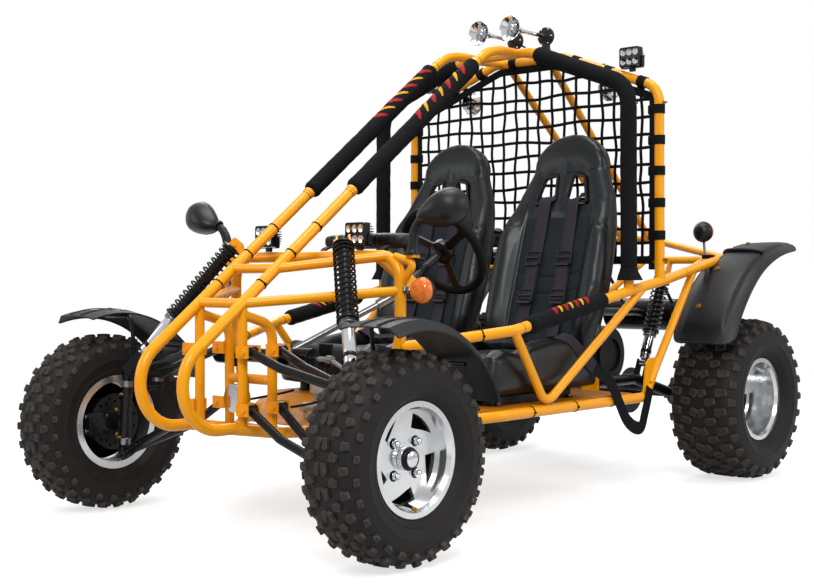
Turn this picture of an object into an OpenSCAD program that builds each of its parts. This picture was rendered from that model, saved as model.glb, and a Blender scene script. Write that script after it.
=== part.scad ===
// Two-seat off-road go-kart with a tubular cage.
// Millimetres. The front faces -Y, the driver sits on the +X side and the ground is Z = 0.
// Heights are measured from the ground, lengths from half way between the axles.

/* [Wheels] */
// Distance between the front and rear axles
wheelbase = 1830; // [1790:10:1900]
// Distance between the middles of the front tyres
track_front = 1220; // [1200:10:1280]
// Distance between the middles of the rear tyres
track_rear = 1110; // [1090:10:1180]
// Outside diameter of a front tyre over its lugs
tyre_front_d = 533; // [515:1:545]
// Width of a front tyre
tyre_front_w = 178; // [165:1:186]
// Outside diameter of a rear tyre over its lugs
tyre_rear_d = 559; // [540:1:575]
// Width of a rear tyre
tyre_rear_w = 254; // [230:1:262]
// Height of the tread lugs
lug_h = 10; // [7:1:13]
// Lug pitches round a tyre
lug_count = 14; // [12:2:18]
// Bead seat diameter of the rims
bead_d = 254; // [250:1:258]
// Flange diameter of the rims
flange_d = 284; // [276:1:290]
// Wall of the rim barrels
rim_wall = 5; // [4:1:8]
// Thickness of the wheel centre discs
disc_t = 12; // [8:1:16]
// Depth of a front wheel centre behind its outer flange
front_dish = 42; // [30:1:55]
// Depth of a rear wheel centre behind its outer flange
rear_dish = 112; // [90:1:130]
// Windows cut in each wheel centre
window_count = 5; // [4:1:6]
// Wheel nut circle diameter
nut_circle_d = 110; // [100:1:120]

/* [Frame] */
// Outside diameter of the main tubes
tube_od = 32; // [28:1:34]
// Outside diameter of the brace tubes
brace_od = 27; // [22:1:28]
// Bend radius of the hoops and rails
bend_r = 75; // [60:5:90]
// Sideways distance of the two nose tubes from the middle
nose_half = 90; // [84:1:100]
// Bend radius of the nose loops
nose_r = 120; // [105:5:125]
// Slope of the nose and roof tubes
rail_slope = 37.6; // [36.5:0.1:38.5]
// Height of the nose tubes at the front uprights
junction_z = 636; // [620:1:650]
// Height of the roof tubes
roof_z = 1456; // [1440:1:1475]
// Height of the nose bottom tubes
nose_z = 302; // [294:1:310]
// Height of the seat floor rails
floor_z = 310; // [304:1:318]
// Half width over the seat floor rail centres
floor_half = 480; // [470:1:490]
// Half width of the hoops at their feet
hoop_half = 530; // [520:1:540]
// Distance of the main hoop behind the middle of the kart
hoop_y = 250; // [240:1:264]
// Distance between the two hoops
hoop_gap = 180; // [170:5:195]
// Half width of the dash hoop
dash_half = 345; // [335:1:355]
// Distance of the dash hoop behind the front axle
dash_back = 305; // [295:1:315]
// Height of the dash hoop
dash_z = 765; // [755:1:775]
// Thickness of sheet brackets
plate_t = 5; // [4:1:6]
// Gap left at coped tube ends and between bolted pieces
fit_gap = 0.3; // [0.2:0.05:0.5]

/* [Steering and suspension] */
// Sideways distance of a kingpin from the middle
kingpin_half = 500; // [494:1:506]
// Diameter of the kingpin tube
kingpin_d = 34; // [30:1:38]
// Diameter of the wheel spindle
spindle_d = 24; // [20:1:26]
// Diameter of the front brake discs
brake_d = 170; // [150:2:180]
// Steering wheel diameter
wheel_d = 300; // [280:5:320]
// Tilt of the steering wheel from upright
wheel_tilt = 32; // [30:1:35]
// Sideways place of the driver from the middle
driver_x = 250; // [240:1:260]
// Bore in the suspension bushes
bush_bore = 12.4; // [10.4:0.2:12.8]
// Diameter of the bush bolts
bolt_d = 12; // [10:0.2:12]
// Outside diameter of the spring coils
coil_od = 62; // [56:1:66]
// Wire diameter of the springs
coil_wire = 9; // [7:1:10]
// Turns shown on a front spring
coil_turns = 11; // [9:1:12]
// Diameter of the rear axle
axle_d = 30; // [26:1:34]

/* [Seats] */
// Width of a seat at the shoulders
seat_w = 440; // [420:5:460]
// Height of a seat top above the ground
seat_top_z = 1185; // [1150:5:1200]
// Recline of the seat backs from upright
seat_recline = 17; // [15:1:19]
// Thickness of a seat back
seat_t = 60; // [50:2:70]

/* [Lamps] */
// Width of a work lamp
lamp_w = 76; // [70:1:80]
// Diameter of a turn lamp
turn_d = 74; // [66:1:80]
// Diameter of an air horn bell
bell_d = 84; // [76:1:90]

/* [Hidden] */

// The larger rear tyres move the middle of the kart back from the middle of the wheelbase
mid_shift = (tyre_rear_d - tyre_front_d) / 4;
y_front = -wheelbase / 2 - mid_shift;
y_rear = wheelbase / 2 - mid_shift;
z_front = tyre_front_d / 2;
z_rear = tyre_rear_d / 2;
junction_y = y_front - 45;
upper_junction_y = junction_y + 122;
sleeve_low_y = junction_y - 50;
sleeve_high_y = junction_y + 190;
floor_sleeve_y = junction_y - 42;
second_y = junction_y + 107;
pan_y = second_y + 20;
dash_y = y_front + dash_back;
rear_hoop_y = hoop_y + hoop_gap;
hoop_corner_z = 1312;
dash_leg_foot = [floor_half - 205, dash_y - 20, floor_z - 22];
arm_rail = [
    [dash_half, dash_y, 512], [hoop_half - 26, dash_y + 310, 553], [hoop_half, hoop_y, 660],
    [hoop_half + 4, rear_hoop_y + 30, 694], [hoop_half - 46, y_rear + 36, 771]];
rear_peak = [60, y_rear + 235, 850];
brace_foot = [60, rear_peak[1] - 4, 850];
gusset_foot = [floor_half, hoop_y + 172, floor_z + 4];
kingpin_lean = 5;
kingpin_low = 198;
kingpin_high = 398;
// Distance from a kingpin's end to the middle of the boss that holds it
boss_step = 15;
rack_y = second_y + 53;
rack_z = 484;
wheel_c = [driver_x, dash_y + 292, 782];
// Depth of a lug's foot inside the tyre
lug_sink = 8;
// Faces round a tyre, two for each lug pitch
tyre_facets = 2 * lug_count;
// How far a straight tube enters its bend, and how much wider the bend is drawn
lap = 0.4;
swell = 0.2;

paint = "#FBAE17";
dark = "#1E2226";
rubber = "#232120";
metal = "#C9CBCE";

function unit(v) = v / norm(v);
function side_of(v) = unit(abs(v[2]) < 0.9 * norm(v) ? cross(v, [0, 0, 1]) : cross(v, [0, 1, 0]));
function turn_deg(a, b, c) = acos(max(-1, min(1, unit(b - a) * unit(c - b))));
function tangent(p, i, r) =
    (i == 0 || i == len(p) - 1) ? 0 : r * tan(turn_deg(p[i - 1], p[i], p[i + 1]) / 2) - lap;
function mixed(a, b, t) = a + t * (b - a);
function along(a, b, d) = a + unit(b - a) * d;
// A point of the nose and roof tubes at a given Y
function slope_at(y) = [nose_half, y, junction_z + (y - junction_y) * tan(rail_slope)];
function arc(r, a0, a1, n) = [for (i = [0 : n]) let (a = mixed(a0, a1, i / n)) [r * cos(a), r * sin(a)]];
function normal_2d(p, i) =
    let (a = p[max(0, i - 1)], b = p[min(len(p) - 1, i + 1)], d = unit(b - a)) [-d[1], d[0]];
function band(p, t) =
    concat(p, [for (i = [len(p) - 1 : -1 : 0]) p[i] + t * normal_2d(p, i)]);

module frame_at(o, x, y, z) {
    multmatrix([[x[0], y[0], z[0], o[0]], [x[1], y[1], z[1], o[1]], [x[2], y[2], z[2], o[2]]])
        children();
}

// Stands its children at a point with their Z axis along a direction
module aim(o, dir) {
    z = unit(dir);
    x = side_of(z);
    frame_at(o, x, cross(z, x), z) children();
}

module rod(a, b, d) {
    aim(a, b - a) cylinder(d = d, h = norm(b - a), $fn = 28);
}

module elbow(a, b, c, r, d) {
    u = unit(b - a);
    q = turn_deg(a, b, c);
    n = unit(cross(u, unit(c - b)));
    m = cross(n, u);
    frame_at(b - u * r * tan(q / 2) + m * r, -m, u, n)
        rotate_extrude(angle = q, $fn = 60) translate([r, 0]) circle(d = d + swell, $fn = 28);
}

// A round tube along a list of corner points, bent at each of them
module bent_tube(p, r, d) {
    for (i = [0 : len(p) - 2])
        rod(along(p[i], p[i + 1], tangent(p, i, r)), along(p[i + 1], p[i], tangent(p, i + 1, r)), d);
    if (len(p) > 2)
        for (i = [1 : len(p) - 2]) elbow(p[i - 1], p[i], p[i + 1], r, d);
}

// Draws its children on the left and mirrored on the right
module both() {
    children();
    mirror([1, 0, 0]) children();
}

// The space that a tube's neighbours keep clear
module clear_of(a, b, d) {
    rod(a, b, d + 2 * fit_gap);
}

module x_rod(x0, x1, y, z, d) {
    rod([x0, y, z], [x1, y, z], d);
}

/* Nose and front frame */
module nose_loops() {
    color(paint) both() bent_tube([
        slope_at(sleeve_low_y),
        [nose_half, junction_y - (junction_z - nose_z) / tan(rail_slope), nose_z],
        [nose_half, floor_sleeve_y, nose_z]], nose_r, tube_od);
}

function floor_path() = [
    [nose_half, floor_sleeve_y, nose_z], [nose_half, pan_y, nose_z - 26],
    [floor_half - 110, y_front + 420, floor_z - 18], [floor_half, y_front + 590, floor_z],
    [floor_half, gusset_foot[1] - 40, floor_z]];

module floor_rail_clear() {
    both() bent_tube(floor_path(), 90, tube_od + 2 * fit_gap);
}

module arm_rail_clear() {
    both() bent_tube(arm_rail, bend_r, tube_od + 2 * fit_gap);
}

// Ears that hold a suspension bush, with the bolt through them
module bush_ears(x, y, z) {
    for (s = [-1, 1]) difference() {
        translate([nose_half, y + s * (19 + plate_t / 2) - plate_t / 2, z - 17])
            cube([x - nose_half + 17, plate_t, 34]);
        translate([x, y + s * 30, z]) rotate([90, 0, 0]) cylinder(d = bush_bore, h = 60, center = true, $fn = 24);
    }
    translate([nose_half + 6, y - 20, z - 17]) cube([7, 40, 34]);
    translate([x, y, z]) rotate([90, 0, 0]) cylinder(d = bolt_d, h = 52, center = true, $fn = 24);
    for (s = [-1, 1]) translate([x, y + s * 27, z]) rotate([90, 0, 0])
        cylinder(d = 20, h = 7, center = true, $fn = 6);
}

bush_x = nose_half + 30;
upper_bush_z = 507;
lower_bush_z = 352;

module front_frame() {
    color(paint) {
        difference() {
            union() {
                both() {
                    rod(slope_at(sleeve_low_y), slope_at(sleeve_high_y), tube_od);
                    rod(slope_at(junction_y), [nose_half, junction_y, nose_z - 4], brace_od);
                    bent_tube([[nose_half, junction_y, junction_z - 30], [nose_half, second_y, junction_z - 62],
                        [nose_half, second_y, nose_z - 20]], 55, brace_od);
                    for (y = [junction_y, second_y])
                        for (z = [lower_bush_z, upper_bush_z]) bush_ears(bush_x, y, z);
                }
                for (y = [junction_y, upper_junction_y])
                    x_rod(-nose_half, nose_half, y, slope_at(y)[2], brace_od);
                x_rod(-nose_half, nose_half, second_y, nose_z + 120, brace_od);
            }
            floor_rail_clear();
        }
    }
}

// Tubes round the driver's feet and under the mirrors
dash_path = [
    dash_leg_foot, [dash_half, dash_y, 540], [dash_half, dash_y, dash_z],
    [-dash_half, dash_y, dash_z], [-dash_half, dash_y, 540], [-dash_leg_foot[0], dash_leg_foot[1], dash_leg_foot[2]]];
shock_top = [226, upper_junction_y + 124, dash_z + 38];
shock_low = [442, y_front + 12, 470];
fork_half = 15;

// Two ears and the bolt that hold a shock's eye, in the shock's own direction
straight_ear = [[-15, -10], [15, -10], [15, 60], [-15, 60]];
bent_ear = [[-15, -9], [16, -9], [34, -14], [34, -44], [56, -44], [56, -14], [15, 15], [-15, 15]];

module shock_fork(at, dir, outline) {
    aim(at, dir) {
        for (s = [-1, 1]) rotate([90, 0, 90]) translate([0, 0, s * (fork_half + plate_t / 2) - plate_t / 2])
            linear_extrude(plate_t) polygon(outline);
        rotate([0, 90, 0]) cylinder(d = bolt_d, h = 2 * (fork_half + plate_t + 6), center = true, $fn = 24);
    }
}

dash_brace = [slope_at(upper_junction_y), [dash_half - 40, dash_y, dash_z]];
mirror_seat_z = dash_z + 2;

module dash_frame() {
    color(paint) difference() {
        union() {
            bent_tube(dash_path, bend_r - 5, tube_od);
            both() {
                rod(dash_brace[0], dash_brace[1], brace_od);
                rod(slope_at(junction_y), [dash_half, dash_y, dash_z - 97], brace_od);
                bent_tube([[dash_half - 20, dash_y, dash_z - 2], [dash_half + 48, dash_y + 5, dash_z - 20],
                    [dash_half, dash_y, dash_z - 85]], 14, 22);
                shock_fork(shock_top, shock_top - shock_low, bent_ear);
                translate([dash_half + 28, dash_y - 9, mirror_seat_z - 8]) cube([30, 24, 8]);
            }
            column_holder();
        }
        both() {
            clear_of(slope_at(sleeve_low_y), slope_at(sleeve_high_y), tube_od);
            clear_of(slope_at(junction_y), [nose_half, junction_y, nose_z], brace_od);
        }
        arm_rail_clear();
        floor_rail_clear();
        column_bore();
    }
}

// Pivot of the rear swing arm
swing_half = 250;
swing_y = gusset_foot[1] + 10;
swing_z = floor_z + 30;
swing_bolt_d = 16;

module floor_frame() {
    color(paint) {
        difference() {
            both() bent_tube(floor_path(), 90, tube_od);
            both() rod([nose_half, floor_sleeve_y - 60, nose_z], [nose_half, floor_sleeve_y + fit_gap, nose_z], 60);
        }
        x_rod(-nose_half - 40, nose_half + 40, pan_y + 20, nose_z - 24, brace_od);
        x_rod(-floor_half, floor_half, y_front + 620, floor_z, brace_od);
        x_rod(-floor_half, floor_half, hoop_y - 60, floor_z, brace_od);
        x_rod(-floor_half, floor_half, gusset_foot[1] - 60, floor_z, brace_od);
        both() {
            translate([swing_half + 24, gusset_foot[1] - 66, floor_z - 6]) cube([plate_t, 104, 70]);
            x_rod(swing_half - 40, swing_half + 36, swing_y, swing_z, swing_bolt_d);
        }
    }
}

// Sheet that the feet and seats stand over, bent down towards the pedals
pan_t = 2;
pan_gap = 1.5 * fit_gap;
pan_top = floor_z + tube_od / 2 + pan_gap + pan_t;

module floor_pan() {
    seat_y = y_front + 590;
    end_y = gusset_foot[1] - 60 - brace_od / 2 - fit_gap;
    top = [[pan_y + 40, nose_z - 26 + tube_od / 2 + pan_gap], [seat_y, floor_z + tube_od / 2 + pan_gap],
        [end_y, floor_z + tube_od / 2 + pan_gap]];
    color("#D8961A") difference() {
        pan_sheet(top, seat_y, end_y);
        floor_rail_clear();
        both() clear_of(dash_path[0], dash_path[1], tube_od);
    }
}

// The bent sheet, trimmed to the outline of the floor rails
module pan_sheet(top, seat_y, end_y) {
    intersection() {
        rotate([90, 0, 90]) translate([0, 0, -floor_half]) linear_extrude(2 * floor_half)
            polygon(concat(top, [for (i = [2 : -1 : 0]) top[i] + [0, pan_t]]));
        linear_extrude(floor_z + 100) polygon([
            [-nose_half, pan_y], [nose_half, pan_y], [floor_half - 110, y_front + 420],
            [floor_half, seat_y], [floor_half, end_y], [-floor_half, end_y],
            [-floor_half, seat_y], [110 - floor_half, y_front + 420]]);
    }
}

/* Side frames */
gusset_top = mixed(arm_rail[3], arm_rail[4], 0.48);
vee_path = [
    mixed(arm_rail[1], arm_rail[2], 0.0) + [0, 0, -6], [floor_half + 4, y_front + 790, floor_z + 16],
    mixed(arm_rail[1], arm_rail[2], 1.16)];
hitch_d = 12.4;
hitch_z = floor_z + 46;
hitch_y = gusset_foot[1] + 22;

module side_frame() {
    color(paint) {
        difference() {
            union() {
                bent_tube(arm_rail, bend_r, tube_od);
                bent_tube([vee_path[0], vee_path[1], vee_path[2]], 46, brace_od);
                rod(gusset_foot + [0, 0, -4], gusset_top, brace_od);
                rod([floor_half, gusset_foot[1] - 40, floor_z], gusset_foot + [0, 6, -4], tube_od);
                rod([hoop_half, hoop_y, 660], [hoop_half, hoop_y, 712], tube_od);
                rod([hoop_half + 3, rear_hoop_y, 690], [hoop_half + 3, rear_hoop_y, 742], tube_od);
                rotate([90, 0, 90]) translate([0, 0, floor_half + 6]) linear_extrude(plate_t) polygon([
                    [gusset_foot[1] - 22, floor_z], [gusset_foot[1] + 14, floor_z - 6],
                    [gusset_foot[1] + 62, floor_z + 66], [gusset_foot[1] + 88, floor_z + 128],
                    [gusset_foot[1] + 20, floor_z + 128], [gusset_foot[1] - 4, floor_z + 112]]);
            }
            translate([floor_half + 8, hitch_y, hitch_z]) rotate([0, 90, 0])
                cylinder(d = hitch_d, h = 40, center = true, $fn = 32);
            clear_of([floor_half, y_front + 590, floor_z], [floor_half, gusset_foot[1] - 40, floor_z], tube_od);
            clear_of(dash_path[1], dash_path[2], tube_od);
        }
    }
}

module side_frame_left() { side_frame(); }
module side_frame_right() { mirror([1, 0, 0]) side_frame(); }

/* Cage */
function hoop_path(y, half, foot_z, corner_z, top_z) = [
    [half, y, foot_z], [half - 3, y, corner_z], [nose_half + 55, y, top_z], [-nose_half - 55, y, top_z],
    [3 - half, y, corner_z], [-half, y, foot_z]];
main_path = hoop_path(hoop_y, hoop_half, 712.3, hoop_corner_z, roof_z);
rear_path = hoop_path(rear_hoop_y, hoop_half + 3, 742.3, hoop_corner_z + 10, roof_z + 6);

module roof_rails() {
    top_y = junction_y + (roof_z - junction_z) / tan(rail_slope);
    color(paint) difference() {
        both() bent_tube([slope_at(sleeve_high_y + fit_gap), [nose_half, top_y, roof_z],
            [nose_half, hoop_y, roof_z]], bend_r, tube_od);
        clear_of(main_path[2], main_path[3], tube_od);
    }
}

module main_hoop() {
    color(paint) {
        bent_tube(main_path, bend_r, tube_od);
    }
}

module rear_hoop() {
    color(paint) difference() {
        union() {
            bent_tube(rear_path, bend_r, tube_od);
            both() rod([nose_half + 20, rear_hoop_y, roof_z + 6], [nose_half + 20, hoop_y, roof_z], brace_od);
        }
        clear_of(main_path[2], main_path[3], tube_od);
    }
}

engine_bay = [
    [180, gusset_foot[1] - 60, floor_z], [180, gusset_foot[1] + 60, 560], [180, y_rear + 5, 764]];
bay_od = brace_od - 3;
bay_bar = mixed(engine_bay[0], engine_bay[1], 0.5);
corner_brace = [[arm_rail[4][0] - 60, y_rear + 5, 764], mixed(arm_rail[3], arm_rail[4], 0.36)];
rear_shock_top = [270, y_rear - 16, 712];
rear_shock_low = [270, y_rear - 150, 396];

module rear_frame() {
    corner = arm_rail[4];
    color(paint) difference() {
        union() {
            bent_tube([corner, rear_peak, [-rear_peak[0], rear_peak[1], rear_peak[2]],
                [-corner[0], corner[1], corner[2]]], bend_r - 30, brace_od);
            x_rod(-corner[0], corner[0], y_rear + 5, 764, brace_od);
            both() {
                rod([nose_half, rear_hoop_y, roof_z + 4], brace_foot, brace_od);
                rod(corner_brace[0], corner_brace[1], brace_od - 4);
                bent_tube(engine_bay, bend_r, bay_od);
                shock_fork(rear_shock_top, rear_shock_top - rear_shock_low, straight_ear);
            }
            x_rod(-engine_bay[0][0], engine_bay[0][0], bay_bar[1], bay_bar[2], bay_od - 3);
        }
        arm_rail_clear();
        both() {
            translate(arm_rail[4]) sphere(d = tube_od + 2 * fit_gap, $fn = 28);
            clear_of(gusset_foot + [0, 0, -4], gusset_top, brace_od);
        }
        clear_of(rear_path[2], rear_path[3], tube_od);
        clear_of([-floor_half, gusset_foot[1] - 60, floor_z], [floor_half, gusset_foot[1] - 60, floor_z], brace_od);
    }
}

/* Foam sleeves on the tubes */
pad_wall = 10;

module foam(p, r) {
    difference() {
        bent_tube(p, r, tube_od + 2 * pad_wall);
        bent_tube([along(p[0], p[1], -20), for (i = [1 : len(p) - 2]) p[i],
            along(p[len(p) - 1], p[len(p) - 2], -20)], r, tube_od + 2 * fit_gap);
    }
}

module straight_foam(a, b) {
    difference() {
        rod(a, b, tube_od + 2 * pad_wall);
        rod(along(a, b, -20), along(b, a, -20), tube_od + 2 * fit_gap);
    }
}

module tube_pads() {
    color(dark) both() {
        straight_foam(slope_at(junction_y + 424), slope_at(junction_y + 985));
        straight_foam(mixed(arm_rail[1], arm_rail[2], 0.1), mixed(arm_rail[1], arm_rail[2], 0.76));
    }
}

module hoop_pad() {
    color(dark) both() foam([
        [main_path[0][0], hoop_y, 724], main_path[1], mixed(main_path[1], main_path[2], 0.94)], bend_r);
}

/* Seats */
seat_back_foot = [0, hoop_y - 128, 452];

// Outline of the seat back from the front, seen square to it
function back_outline(w, h) = concat(
    [[-w * 0.43, 0], [w * 0.43, 0], [w * 0.5, h * 0.32], [w * 0.47, h * 0.6]],
    [for (a = [0 : 15 : 180]) [w * 0.31 * cos(a), h - w * 0.27 + w * 0.27 * sin(a)]],
    [[-w * 0.47, h * 0.6], [-w * 0.5, h * 0.32]]);

module seat() {
    h = (seat_top_z - seat_back_foot[2]) / cos(seat_recline);
    w = seat_w;
    color(dark) translate([driver_x, 0, 0]) {
        translate(seat_back_foot) rotate([90 - seat_recline, 0, 0]) translate([0, 0, -seat_t])
            difference() {
                union() {
                    linear_extrude(seat_t) polygon(back_outline(w, h));
                    for (s = [-1, 1]) linear_extrude(seat_t + 42) polygon([
                        [s * w * 0.36, 0], [s * w * 0.44, 0], [s * w * 0.5, h * 0.32], [s * w * 0.47, h * 0.6],
                        [s * w * 0.38, h * 0.64], [s * w * 0.4, h * 0.3]]);
                }
                for (s = [-1, 1]) translate([0, 0, -1]) linear_extrude(seat_t + 60) polygon([
                    [s * 22, h * 0.68], [s * 92, h * 0.66], [s * 78, h * 0.76], [s * 30, h * 0.775]]);
            }
        difference() {
            rotate([90, 0, 90]) translate([hoop_y, 0, 10 - w / 2]) linear_extrude(w - 20) polygon([
                [-586, 356], [-594, 400], [-574, 440], [-526, 452], [-376, 420], [-160, 402], [-118, 456],
                [-84, 440], [-84, 356]]);
            translate([-w / 2 + 62, hoop_y - 536, 408]) cube([w - 124, 560, 120]);
        }
        for (s = [-1, 1]) translate([s * 140 - 18, hoop_y - 540, pan_top + fit_gap])
            cube([36, 400, 358 - pan_top - fit_gap]);
    }
}

module seat_left() { seat(); }
module seat_right() { mirror([1, 0, 0]) seat(); }

// Belts: shoulder straps down the seat backs
strap_w = 48;
strap_t = 3;

module harness() {
    h = (seat_top_z - seat_back_foot[2]) / cos(seat_recline);
    color("#4A444E") both() translate([driver_x, 0, 0]) translate(seat_back_foot)
        rotate([90 - seat_recline, 0, 0]) for (s = [-1, 1])
            translate([s * 54, 0, fit_gap]) rotate([0, 0, s * 3]) translate([-strap_w / 2, 30, 0])
                cube([strap_w, h * 0.66, strap_t]);
}

/* Webbing net hung in the rear hoop */
net_pitch = 52;
web_w = 12;
web_t = 3;

module safety_net() {
    top = roof_z - 30;
    low = 770;
    half = hoop_half - 25;
    color(dark) intersection() {
        union() {
            for (x = [-9 : 9]) translate([x * net_pitch - web_w / 2, rear_hoop_y - web_t, low]) cube([web_w, web_t, top - low]);
            for (i = [0 : 12]) translate([-half, rear_hoop_y - web_t, low + i * net_pitch])
                cube([2 * half, web_t, web_w]);
            rotate([90, 0, 0]) translate([0, 0, -rear_hoop_y]) linear_extrude(web_t) difference() {
                net_outline(0);
                net_outline(34);
            }
        }
        rotate([90, 0, 0]) translate([0, 0, -rear_hoop_y - 1]) linear_extrude(web_t + 2) net_outline(0);
    }
    color(dark) {
        both() for (z = strap_heights) translate([mixed(rear_path[0], rear_path[1],
            (z - rear_path[0][2]) / (rear_path[1][2] - rear_path[0][2]))[0], rear_hoop_y, z]) net_strap();
        for (x = [-60, 60]) translate([x, rear_hoop_y, rear_path[2][2]]) rotate([0, -90, 0]) net_strap();
    }
}

// A strap round a hoop tube that runs along Z, with its tail towards -X
strap_heights = [840, 1050, 1250];
strap_loop_t = 2.5;

module net_strap() {
    difference() {
        cylinder(d = tube_od + 2 * (fit_gap + strap_loop_t), h = 30, center = true, $fn = 40);
        cylinder(d = tube_od + 2 * fit_gap, h = 32, center = true, $fn = 40);
    }
    translate([-tube_od / 2 - 24, -web_t, -15]) cube([24 - fit_gap - 0.5, web_t, 30]);
}

module net_outline(inset) {
    half = hoop_half - 22 - inset;
    top = roof_z - 22 - inset;
    corner = hoop_corner_z - 20 - inset;
    flat = nose_half + 30 - inset / 3;
    polygon([[-half, 760 + inset], [half, 760 + inset], [half, corner], [flat, top], [-flat, top], [-half, corner]]);
}

/* Drive line */
engine_low_z = 362;

module engine() {
    y0 = y_rear - 270;
    color("#55585C") {
        translate([-120, y0, engine_low_z]) cube([210, 205, 500 - engine_low_z]);
        translate([-15, y0 + 30, 425]) rotate([38, 0, 0]) {
            translate([-55, -60, 60]) cube([110, 110, 120]);
            for (i = [0 : 7]) translate([-72, -76, 74 + i * 13]) cube([144, 142, 5]);
            translate([-60, -64, 178]) cube([120, 118, 42]);
        }
        translate([90, y0 + 100, 420]) rotate([0, 90, 0]) cylinder(d = 210, h = 46, $fn = 64);
        translate([-180, y0 + 60, 395]) cube([62, 330, 110]);
        translate([136, y0 + 100, 420]) rotate([0, 90, 0]) difference() {
            cylinder(d = 150, h = 12, $fn = 64);
            translate([0, 0, 4]) cylinder(d = 120, h = 20, $fn = 64);
        }
    }
}

// Exhaust port in the tilted cylinder head
port = [y_rear - 240 - 199 * sin(38), 425 + 199 * cos(38)];

module muffler() {
    color(dark) {
        x_rod(-60, 240, y_rear + 150, 560, 120);
        bent_tube([[45 + fit_gap, port[0], port[1]], [120, port[0], port[1]], [120, y_rear + 40, 572],
            [120, y_rear + 110, 562]], 36, 28);
        x_rod(238, 280, y_rear + 150, 580, 26);
        for (x = [0, 218]) {
            rod([x, y_rear + 130, 612], [x, y_rear + 14, 738], 12);
            difference() {
                translate([x - 14, y_rear - 9, 730]) cube([28, 28, 24]);
                clear_of([x - 20, y_rear + 5, 764], [x + 20, y_rear + 5, 764], brace_od);
            }
        }
    }
}

swing_od = 38;
cradle_y = y_rear - 115;
cradle_z = 308;

module swing_arm() {
    color(dark) {
        difference() {
            union() {
                both() {
                    bent_tube([[swing_half, swing_y, swing_z], [swing_half, y_rear - 180, 340],
                        [swing_half + 80, y_rear - 40, z_rear]], 60, swing_od);
                    shock_fork(rear_shock_low, rear_shock_low - rear_shock_top, straight_ear);
                    translate([swing_half + 50, y_rear - 60, z_rear - 14]) cube([52, 60, 28]);
                    x_rod(swing_half + 50, swing_half + 102, y_rear, z_rear, 84);
                    translate([52, y_rear - 210, cradle_z]) cube([8, 100, engine_low_z - fit_gap - cradle_z]);
                }
                x_rod(-swing_half - 36, swing_half + 36, cradle_y, cradle_z, tube_od);
                x_rod(-swing_half, swing_half, swing_y, swing_z, swing_od);
            }
            x_rod(-swing_half - 120, swing_half + 120, y_rear, z_rear, axle_d + 2 * fit_gap);
            both() x_rod(swing_half - 44, swing_half + 60, swing_y, swing_z, swing_bolt_d + 2 * fit_gap);
        }
    }
}

/* Springs */
module helix(r, wire, turns, pitch) {
    for (i = [0 : turns - 1]) translate([0, 0, (i + 0.5) * pitch])
        rotate([4, 0, 0]) rotate_extrude($fn = 40) translate([r, 0]) circle(d = wire, $fn = 14);
}

module shock(top, low, turns) {
    long = norm(top - low);
    spring = long * 0.6;
    color(dark) aim(top, low - top) {
        rotate([0, 90, 0]) difference() {
            cylinder(d = 26, h = 26, center = true, $fn = 32);
            cylinder(d = bush_bore, h = 30, center = true, $fn = 32);
        }
        translate([0, 0, 12]) cylinder(d = coil_od, h = 10, $fn = 40);
        translate([0, 0, 20]) cylinder(d = coil_od - 2 * coil_wire + 3, h = spring + 4, $fn = 32);
        translate([0, 0, 20]) helix(coil_od / 2 - coil_wire / 2, coil_wire, turns, spring / turns);
        translate([0, 0, 20 + spring]) cylinder(d = coil_od, h = 10, $fn = 40);
        translate([0, 0, 28 + spring]) cylinder(d = 36, h = long - spring - 38, $fn = 32);
        translate([0, 0, long]) rotate([0, 90, 0]) difference() {
            cylinder(d = 26, h = 26, center = true, $fn = 32);
            cylinder(d = bush_bore, h = 30, center = true, $fn = 32);
        }
    }
}

module front_shocks() {
    both() shock(shock_top, shock_low, coil_turns);
}

module rear_shocks() {
    both() shock(rear_shock_top, rear_shock_low, 8);
}

/* Front suspension arms */
module a_arm(pivot_z, outer_z, outer_x) {
    outer = [outer_x, y_front, outer_z];
    difference() {
        union() {
            bent_tube([[bush_x, junction_y, pivot_z], [bush_x + 110, junction_y + 8, mixed(pivot_z, outer_z, 0.42)],
                outer + [-20, -4, 0]], 60, 25);
            bent_tube([[bush_x, second_y, pivot_z], [bush_x + 110, second_y - 14, mixed(pivot_z, outer_z, 0.42)],
                outer + [-20, 4, 0]], 60, 25);
            for (y = [junction_y, second_y]) translate([bush_x, y, pivot_z]) rotate([90, 0, 0])
                cylinder(d = 28, h = 38 - 2 * fit_gap, center = true, $fn = 32);
            aim(outer, kingpin_axis()) cylinder(d = kingpin_d, h = 24, center = true, $fn = 32);
        }
        for (y = [junction_y, second_y]) translate([bush_x, y, pivot_z]) rotate([90, 0, 0])
            cylinder(d = bush_bore + 0.2, h = 60, center = true, $fn = 32);
    }
}

function kingpin_axis() = [-sin(kingpin_lean), 0, cos(kingpin_lean)];
function kingpin_at(z) = [kingpin_half - (z - z_front) * tan(kingpin_lean), y_front, z];

module a_arms() {
    color(dark) both() {
        a_arm(lower_bush_z, kingpin_low - boss_step, kingpin_at(kingpin_low - boss_step)[0]);
        a_arm(upper_bush_z, kingpin_high + boss_step, kingpin_at(kingpin_high + boss_step)[0]);
        rod(kingpin_at(kingpin_low - boss_step), kingpin_at(kingpin_high + boss_step), kingpin_bolt_d);
        shock_fork(shock_low, shock_low - shock_top, straight_ear);
    }
}

/* Knuckles, and what they carry */
steer_arm = 118;
steer_arm_end = kingpin_at(368) + [0, steer_arm, 0];
kingpin_bolt_d = 16;
stud_d = 8;

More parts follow.
